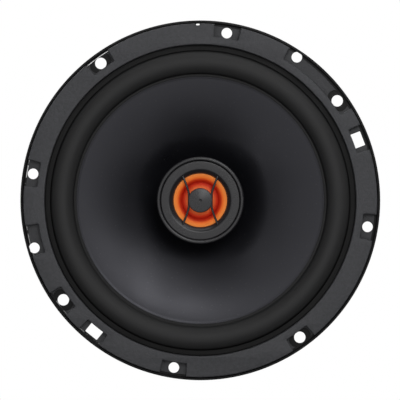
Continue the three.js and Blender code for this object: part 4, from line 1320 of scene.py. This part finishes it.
# %% Plates and magnet
MAGNET, YOKE = Span("magnet_ring"), Span("t_yoke")
SCREW_THREAD = 1.25
piece("top_plate_disc", tube(TOP_PLATE, 0.5, 192), BLACK_STEEL, "top_plate")
magnet = rounded([
    (MAGNET.bore, MAGNET.front), (MAGNET.radius - 0.9, MAGNET.front, 0.25),
    (MAGNET.radius, MAGNET.front + 0.9, 0.4), (MAGNET.radius, MAGNET.rear - 0.9, 0.4),
    (MAGNET.radius - 0.9, MAGNET.rear, 0.25), (MAGNET.bore, MAGNET.rear),
])
piece("ferrite_ring", turned(magnet, 192), FERRITE, "magnet_ring")

# %% Yoke
POLE_RADIUS = FORMER.bore - 0.4
YOKE_FRONT = MAGNET.rear + BOND
GROOVE_RADIUS = 25.5
yoke = rounded([
    (YOKE.bore, YOKE.front, 0.3),
    (POLE_RADIUS, YOKE.front, 0.6),
    (POLE_RADIUS, YOKE_FRONT, 1.5),
    (YOKE.radius, YOKE_FRONT, 0.4),
    (YOKE.radius, YOKE.rear - 1.1, 0.5),
    (YOKE.radius - 1.1, YOKE.rear, 0.5),
    (GROOVE_RADIUS + 1.6, YOKE.rear, 0.4),
    (GROOVE_RADIUS + 1.0, YOKE.rear - 0.7, 0.4),
    (GROOVE_RADIUS - 1.0, YOKE.rear - 0.7, 0.4),
    (GROOVE_RADIUS - 1.6, YOKE.rear, 0.4),
    (YOKE.bore + 0.5, YOKE.rear),
    (YOKE.bore, YOKE.rear - 0.5),
])
piece("yoke_forging", turned(yoke, 192), BLACK_STEEL, "t_yoke")

# %% Rivets
def dome(head, shank, front, under, rear, steps=8):
    """Half a rivet's outline: a domed head that ends under its rim, and the shank."""
    rise = under - front
    arch = [(head * math.sin(a), under - 0.25 * rise - 0.75 * rise * math.cos(a))
            for a in np.linspace(0, math.pi / 2, steps)]
    return [*arch, (head * 0.97, under), (shank, under), (shank, rear)]


SEAT_RIVET, BOARD_RIVET = (3.4, 2.0), (1.7, 1.1)
seat_front = SEAT_REAR - SHEET
for i in range(1, 5):
    node = f"seat_rivet_{i}"
    span = Span(node)
    outline = dome(*SEAT_RIVET, span.front, seat_front - BOND, span.rear)
    rivet = turned([*outline, (0.0, span.rear)], 48)
    piece(f"seat_rivet_domed_{i}", at_angle(rivet, *place_of(node)), ZINC, node)

# %% [markdown]
# ## The tweeter's own motor and its post
#
# Behind the diaphragm there is a second, small motor: a pole plate on a nickel-plated magnet in a
# steel cup. A hollow screw, the post, holds the tweeter in front and is bolted behind the yoke,
# and the tweeter's leads run through it. A thread is a helix, so the post is spun with many fine
# rows at its tail, and each point is then pulled in by an amount that goes round with its angle.

# %% Small motor
PLATE, SLUG = Span("tweeter_pole_plate"), Span("tweeter_magnet")


def puck(span, corner, sides=96):
    """A turned disc of a solid's own size, with rounded rims."""
    rims = [(span.radius, span.front, corner), (span.radius, span.rear, corner)]
    return turned(rounded([(0.0, span.front), *rims, (0.0, span.rear)], closed=False), sides)


piece("pole_plate_disc", puck(PLATE, 0.25), ZINC, "tweeter_pole_plate")
piece("tweeter_magnet_slug", puck(SLUG, 0.35), NICKEL, "tweeter_magnet")
cup_bore, cup_floor = COIL.radius + 0.3, SLUG.rear + BOND
cup = rounded([
    (0.0, cup_floor), (cup_bore, cup_floor, 0.8), (cup_bore, CUP.front, 0.2),
    (CUP.radius, CUP.front, 0.4), (CUP.radius, CUP.rear, 1.0), (0.0, CUP.rear),
], closed=False)
piece("tweeter_cup", turned(cup, 96), ZINC, "tweeter_yoke_cup")

# %% Post with its thread
WASHER, NUT = Span("post_washer"), Span("post_nut")
POST_OUTER, POST_HEAD = 4.0, POST.front + POST_HEAD_HEIGHT
THREAD_START, THREAD_DEPTH = YOKE.rear - 8, 0.55
shank = [(POST_OUTER, y) for y in np.arange(THREAD_START, POST.rear - 0.5, SCREW_THREAD / 10)]
post = [
    (POST.bore, POST.front + 0.2), (POST.bore + 0.2, POST.front),
    (POST.radius - 0.3, POST.front), (POST.radius, POST.front + 0.3),
    (POST.radius, POST_HEAD - 0.3), (POST.radius - 0.3, POST_HEAD), (POST_OUTER, POST_HEAD),
    *shank, (POST_OUTER - 0.5, POST.rear), (POST.bore + 0.1, POST.rear),
    (POST.bore, POST.rear - 0.1),
]
verts, faces = turned(post, 64)
radius = np.hypot(verts[:, 0], verts[:, 2])
turn = verts[:, 1] / SCREW_THREAD - np.arctan2(verts[:, 2], verts[:, 0]) / (2 * math.pi)
flank = np.abs(turn % 1 - 0.5) * 2
flank *= (np.abs(radius - POST_OUTER) < 0.01) & (verts[:, 1] >= THREAD_START)
verts[:, (0, 2)] *= (1 - flank * THREAD_DEPTH / POST_OUTER)[:, None]
piece("post_screw", (verts, faces), ZINC, "tweeter_post")

# %% Washer and nut
# A nut is a hexagon whose corners are turned off at both ends: the part that a hexagonal prism and
# a turned barrel have in common.
piece("post_washer_stamped", tube(WASHER, 0.25, 96), ZINC, "post_washer")
hexagon = circle(NUT.radius, range(30, 390, 60))
flats, beyond = NUT.radius * math.cos(math.pi / 6), NUT.radius + 0.1
barrel = rounded([
    (NUT.bore + 0.7, NUT.front), (flats - 0.1, NUT.front, 0.1), (beyond, NUT.front + 0.8),
    (beyond, NUT.rear - 0.8), (flats - 0.1, NUT.rear, 0.1), (NUT.bore + 0.7, NUT.rear),
    (NUT.bore, NUT.rear - 0.7), (NUT.bore, NUT.front + 0.7),
])
nut = combined("INTERSECT", prism(hexagon, NUT.front - 1, NUT.rear + 1), turned(barrel, 96))
piece("post_nut_hex", nut, ZINC, "post_nut")

# %% [markdown]
# ## Terminal board
#
# The terminals are two blades of tinned brass, the positive one wider so that the plugs can't be
# swapped. Each is a strip bent at its foot and pushed through a slot in a small laminate board,
# which two rivets hold to the ledge. A blade is cut from its bent strip: the tip's corners come off
# and a hole goes through it for the plug's spring.

# %% Board
BOARD_ANGLE = place_of("terminal_board")[0]
BOARD_INNER, BOARD_OUTER, BOARD_HALF = 40.4, 58.2, 10.5
TAB_RADIAL, TAB_THICKNESS, TAB_FOOT = 53.0, 0.8, 4.2
TABS = {"pos": (6.3, 6.0, 1.0), "neg": (4.8, -6.0, 0.8)}
RIVET_RADIAL, RIVET_ACROSS = 43.4, 7.5
SLOT_PLAY = 0.3

middle, length = (BOARD_INNER + BOARD_OUTER) / 2, BOARD_OUTER - BOARD_INNER
outlines = [rectangle((middle, 0), (length, 2 * BOARD_HALF), 1.6)]
for width, across, _ in TABS.values():
    slot = TAB_THICKNESS + SLOT_PLAY, width + SLOT_PLAY
    outlines.append(rectangle((TAB_RADIAL, across), slot))
for side in (1, -1):
    hole = circle(BOARD_RIVET[1] + BOND, all_round(32), RIVET_RADIAL, side * RIVET_ACROSS)
    outlines.append(hole)
board = at_angle(plate(outlines, BOARD.front, BOARD.rear, 0.12), BOARD_ANGLE)
piece("terminal_board_punched", board, LAMINATE, "terminal_board")

# %% Blades
HOLE_FROM_TIP = 3.3
for pole, (width, across, hole) in TABS.items():
    tab = Span("terminal_" + pole)
    foot = tab.front + TAB_THICKNESS / 2
    bend = [(TAB_RADIAL + TAB_FOOT, foot), (TAB_RADIAL, foot, 0.8), (TAB_RADIAL, tab.rear)]
    strip = sheet(rounded(bend, 6, closed=False), TAB_THICKNESS, round_ends=False)
    reach = width / 2
    strip = lying(prism(strip, -reach, reach), "across")
    half = [(tab.front - 1, reach, 0), (tab.rear - 1.4, reach, 0.5), (tab.rear, reach - 1.1, 0.3)]
    tip = half + [(y, -z, corner) for y, z, corner in reversed(half)]
    silhouette = prism(rounded(tip), TAB_RADIAL - 1, TAB_RADIAL + TAB_FOOT + 1)
    near, far = TAB_RADIAL - 2, TAB_RADIAL + 2
    drill = turned([(0.0, near), (hole, near), (hole, far), (0.0, far)], 32)
    drill = at_angle(lying(drill, "radial"), 0, depth=tab.rear - HOLE_FROM_TIP)
    blade = combined("INTERSECT", strip, lying(silhouette, "radial"))
    blade = at_angle(combined("DIFFERENCE", blade, drill), BOARD_ANGLE, across=across)
    piece("blade_" + pole, blade, TINNED_BRASS, "terminal_" + pole)

# %% Rivets of the board
for i in (1, 2):
    node = f"terminal_rivet_{i}"
    span = Span(node)
    half = dome(*BOARD_RIVET, span.front, span.front + 0.8, span.middle)
    outline = half + [(r, 2 * span.middle - y) for r, y in half[-2::-1]]
    piece(f"board_rivet_{i}", at_angle(turned(outline, 40), *place_of(node)), ZINC, node)

# %% [markdown]
# ## Tinsel leads
#
# The current reaches the moving coil through two very limp leads of braided tinsel. A braid reads
# as strands that wind round each other, so each lead is four thin wires on a twisted path. Their
# outer end stays with the terminals and their inner end moves with the coil.

# %% Tinsel leads
STRANDS, STRAND_RADIUS, STRAND_OFFSET, LAY = 4, 0.34, 0.35, 4.5
CONE_END = CONE_DEPTH + edge_depth
TAG_PLANE = CONE_END + CONE_THICKNESS + BOND + TAG_DEPTH / 2
FOOT_FRONT = Span("terminal_pos").front


def twisted(path):
    """Strands that wind round a path."""
    across, up = frames_along(path)
    walked = np.concatenate([[0], np.cumsum(lengths(path))])
    strands = []
    for k in range(STRANDS):
        turn = (2 * math.pi * (walked / LAY + k / STRANDS))[:, None]
        aside = np.cos(turn) * across + np.sin(turn) * up
        strands.append(swept(path + aside * STRAND_OFFSET, STRAND_RADIUS, 10))
    return merged(*strands)


for pole, side in (("pos", 1), ("neg", -1)):
    start = place(BOARD_ANGLE + side * 20, FORMER.radius + 1.6, 0, TAG_PLANE)
    path = [start, *route(
        BOARD_ANGLE, (19.5, side * 6.6, TAG_PLANE - 1.3), (30, side * 8.6, TAG_PLANE - 2.9),
        (42, side * 10, TAG_PLANE - 2.1), (50, side * 10.5, TAG_PLANE - 0.9),
        (54.4, side * 9.6, FOOT_FRONT - 1.4), (55.7, side * 6, FOOT_FRONT - 1.0))]
    soft_piece("tinsel_" + pole, twisted(spline(path, 14)), BRAID, "tinsel_lead_" + pole,
               52.0, FORMER.radius + 2.5)

# %% [markdown]
# ## Crossover
#
# One capacitor keeps the low notes from the tweeter. It lies along the ledge in a shrunk sleeve
# that grips its ends, and two drops of black adhesive hold it. The red lead is joined to its wire
# under a piece of shrunk tube. The leads are thin insulated wires, and each follows its own
# solid's route.

# %% Capacitor
CAN_ANGLE, CAN_RADIAL = place_of("crossover_capacitor")
CAN_RADIUS, CAN_HALF = 5.0, 10.0
CAN_DEPTH = Span("crossover_capacitor").middle
can = rounded([
    (0.0, -CAN_HALF + 0.5), (3.6, -CAN_HALF + 0.5, 0.2), (3.9, -CAN_HALF, 0.2),
    (CAN_RADIUS, -CAN_HALF + 0.2, 0.8), (CAN_RADIUS, -CAN_HALF + 2.2, 0.3),
    (CAN_RADIUS - 0.45, -CAN_HALF + 2.9, 0.4), (CAN_RADIUS, -CAN_HALF + 3.6, 0.3),
    (CAN_RADIUS, CAN_HALF - 0.2, 0.9), (3.9, CAN_HALF, 0.2),
    (3.6, CAN_HALF - 0.5, 0.2), (0.0, CAN_HALF - 0.5),
], 6, closed=False)
sleeve = at_angle(lying(turned(can, 64), "across"), CAN_ANGLE, CAN_RADIAL, 0, CAN_DEPTH)
piece("capacitor_can", sleeve, SLEEVING, "crossover_capacitor")

lump = [(1.9 * math.cos(a), 1.7 * math.sin(a)) for a in np.radians(np.linspace(-90, 90, 15))]
lump[0], lump[-1] = (0.0, -1.7), (0.0, 1.7)
drops = [at_angle(turned(lump, 32), CAN_ANGLE, 41.0, side * 5.5, LEDGE_REAR + 1.5)
         for side in (1, -1)]
piece("capacitor_adhesive", merged(*drops), RUBBER)

# %% Wires of the capacitor
WIRE, LEAD = 0.4, 0.6
BESIDE_MAGNET = MAGNET.radius + LEAD + 0.6
SLEEVE_ANGLE, LEAD_OFFSET = 213, 1.1
splice_span = Span("splice_sleeve")
SPLICE = splice_span.middle - 2
BEHIND_BOARD = BOARD.rear + 0.3
tab_face = TAB_RADIAL - TAB_THICKNESS / 2 - 0.3
wire_in = [
    *route(CAN_ANGLE, (CAN_RADIAL, -CAN_HALF - 0.3, CAN_DEPTH),
           (CAN_RADIAL, -CAN_HALF - 3, CAN_DEPTH),
           (CAN_RADIAL + 1.5, -CAN_HALF - 8, CAN_DEPTH - 0.4)),
    *route(BOARD_ANGLE, (TAB_RADIAL - 3.6, 14, BEHIND_BOARD + 2),
           (tab_face - WIRE, 7.5, BEHIND_BOARD + 1.6)),
]
wire_out = [
    *route(CAN_ANGLE, (CAN_RADIAL, CAN_HALF + 0.3, CAN_DEPTH),
           (CAN_RADIAL, CAN_HALF + 2.2, CAN_DEPTH)),
    *route(SLEEVE_ANGLE, (BESIDE_MAGNET + 0.6, LEAD_OFFSET - 0.4, CAN_DEPTH + 0.6),
           (BESIDE_MAGNET, LEAD_OFFSET, splice_span.front),
           (BESIDE_MAGNET, LEAD_OFFSET, SPLICE - 0.3)),
]
piece("capacitor_wire_in", swept(spline(wire_in, 14), WIRE, 12), SOLDER, "capacitor_lead_in")
piece("capacitor_wire_out", swept(spline(wire_out, 14), WIRE, 12), SOLDER, "capacitor_lead_out")

# %% Tweeter leads
def out_of_the_post(degrees, side):
    """Through the post, over the nut and down the side of the magnet."""
    offset = side * LEAD_OFFSET
    over = YOKE.rear + LEAD + 0.3
    places = [
        (0, pocket_floor + 1), (0, YOKE_FRONT), (0, POST.rear), (2.4, POST.rear + 2.2),
        (7, POST.rear + 1.6), (12.5, NUT.front + 1.5), (19, over), (YOKE.radius - 3, over),
        (YOKE.radius + 1.2, over - 0.5), (BESIDE_MAGNET, YOKE.rear - 2.4),
        (BESIDE_MAGNET, MAGNET.rear - 4), (BESIDE_MAGNET, TOP_PLATE.rear + 2),
    ]
    return [place(degrees, radial, offset, depth) for radial, depth in places]


red = [
    *out_of_the_post(SLEEVE_ANGLE, 1),
    place(SLEEVE_ANGLE, BESIDE_MAGNET, LEAD_OFFSET, SPLICE + 0.3),
]
black = [
    *out_of_the_post(BOARD_ANGLE, -1),
    *route(BOARD_ANGLE, (BESIDE_MAGNET + 1.2, -1.2, CAN_DEPTH + 2),
           ((BESIDE_MAGNET + tab_face) / 2, -3.6, BEHIND_BOARD + 2.6),
           (tab_face - LEAD, -6, BEHIND_BOARD + 1.8)),
]
piece("tweeter_wire_red", swept(spline(red, 10), LEAD, 14), RED_PVC, "tweeter_lead_pos")
piece("tweeter_wire_black", swept(spline(black, 10), LEAD, 14), BLACK_PVC, "tweeter_lead_neg")

# %% Shrunk tube and solder joints
bore, wall = LEAD + BOND, LEAD + BOND + 0.5
front, rear = splice_span.front, splice_span.rear
shrunk = rounded([
    (bore, front, 0.1), (wall - 0.25, front, 0.15), (wall - 0.12, front + 1.5, 1.0),
    (wall, front + 3.0, 1.0), (wall - 0.1, splice_span.middle, 1.5), (wall, rear - 3.0, 1.0),
    (wall - 0.15, rear - 1.2, 0.8), (wall - 0.22, rear, 0.15), (bore, rear, 0.1),
], 6)
tube_shape = at_angle(turned(shrunk, 32), SLEEVE_ANGLE, BESIDE_MAGNET, LEAD_OFFSET)
piece("splice_tube", tube_shape, BLACK_PVC, "splice_sleeve")
joints = []
for across, depth in ((6.9, BEHIND_BOARD + 1.5), (-6, BEHIND_BOARD + 1.7)):
    drop = lying(blob(1.15, -1.5), "radial")
    joints.append(at_angle(drop, BOARD_ANGLE, TAB_RADIAL - TAB_THICKNESS / 2 + 0.05, across, depth))
for side in (1, -1):
    drop = blob(1.3, -1.6)
    joints.append(at_angle(drop, BOARD_ANGLE, TAB_RADIAL + 2.6, side * 6, FOOT_FRONT + 0.05))
piece("solder_joints", merged(*joints), SOLDER)

# %% [markdown]
# ## Measure and finish
#
# The finished model has to fill the same space as the measured solids, so both boxes are measured
# and the shift of their corners is printed.

# %% Sizes of the two boxes
VISUAL_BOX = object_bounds()
change = (np.array(VISUAL_BOX) - np.array(CAD_BOX)) / MM
print("the corners of the box moved by", change.round(2).tolist(), "mm")
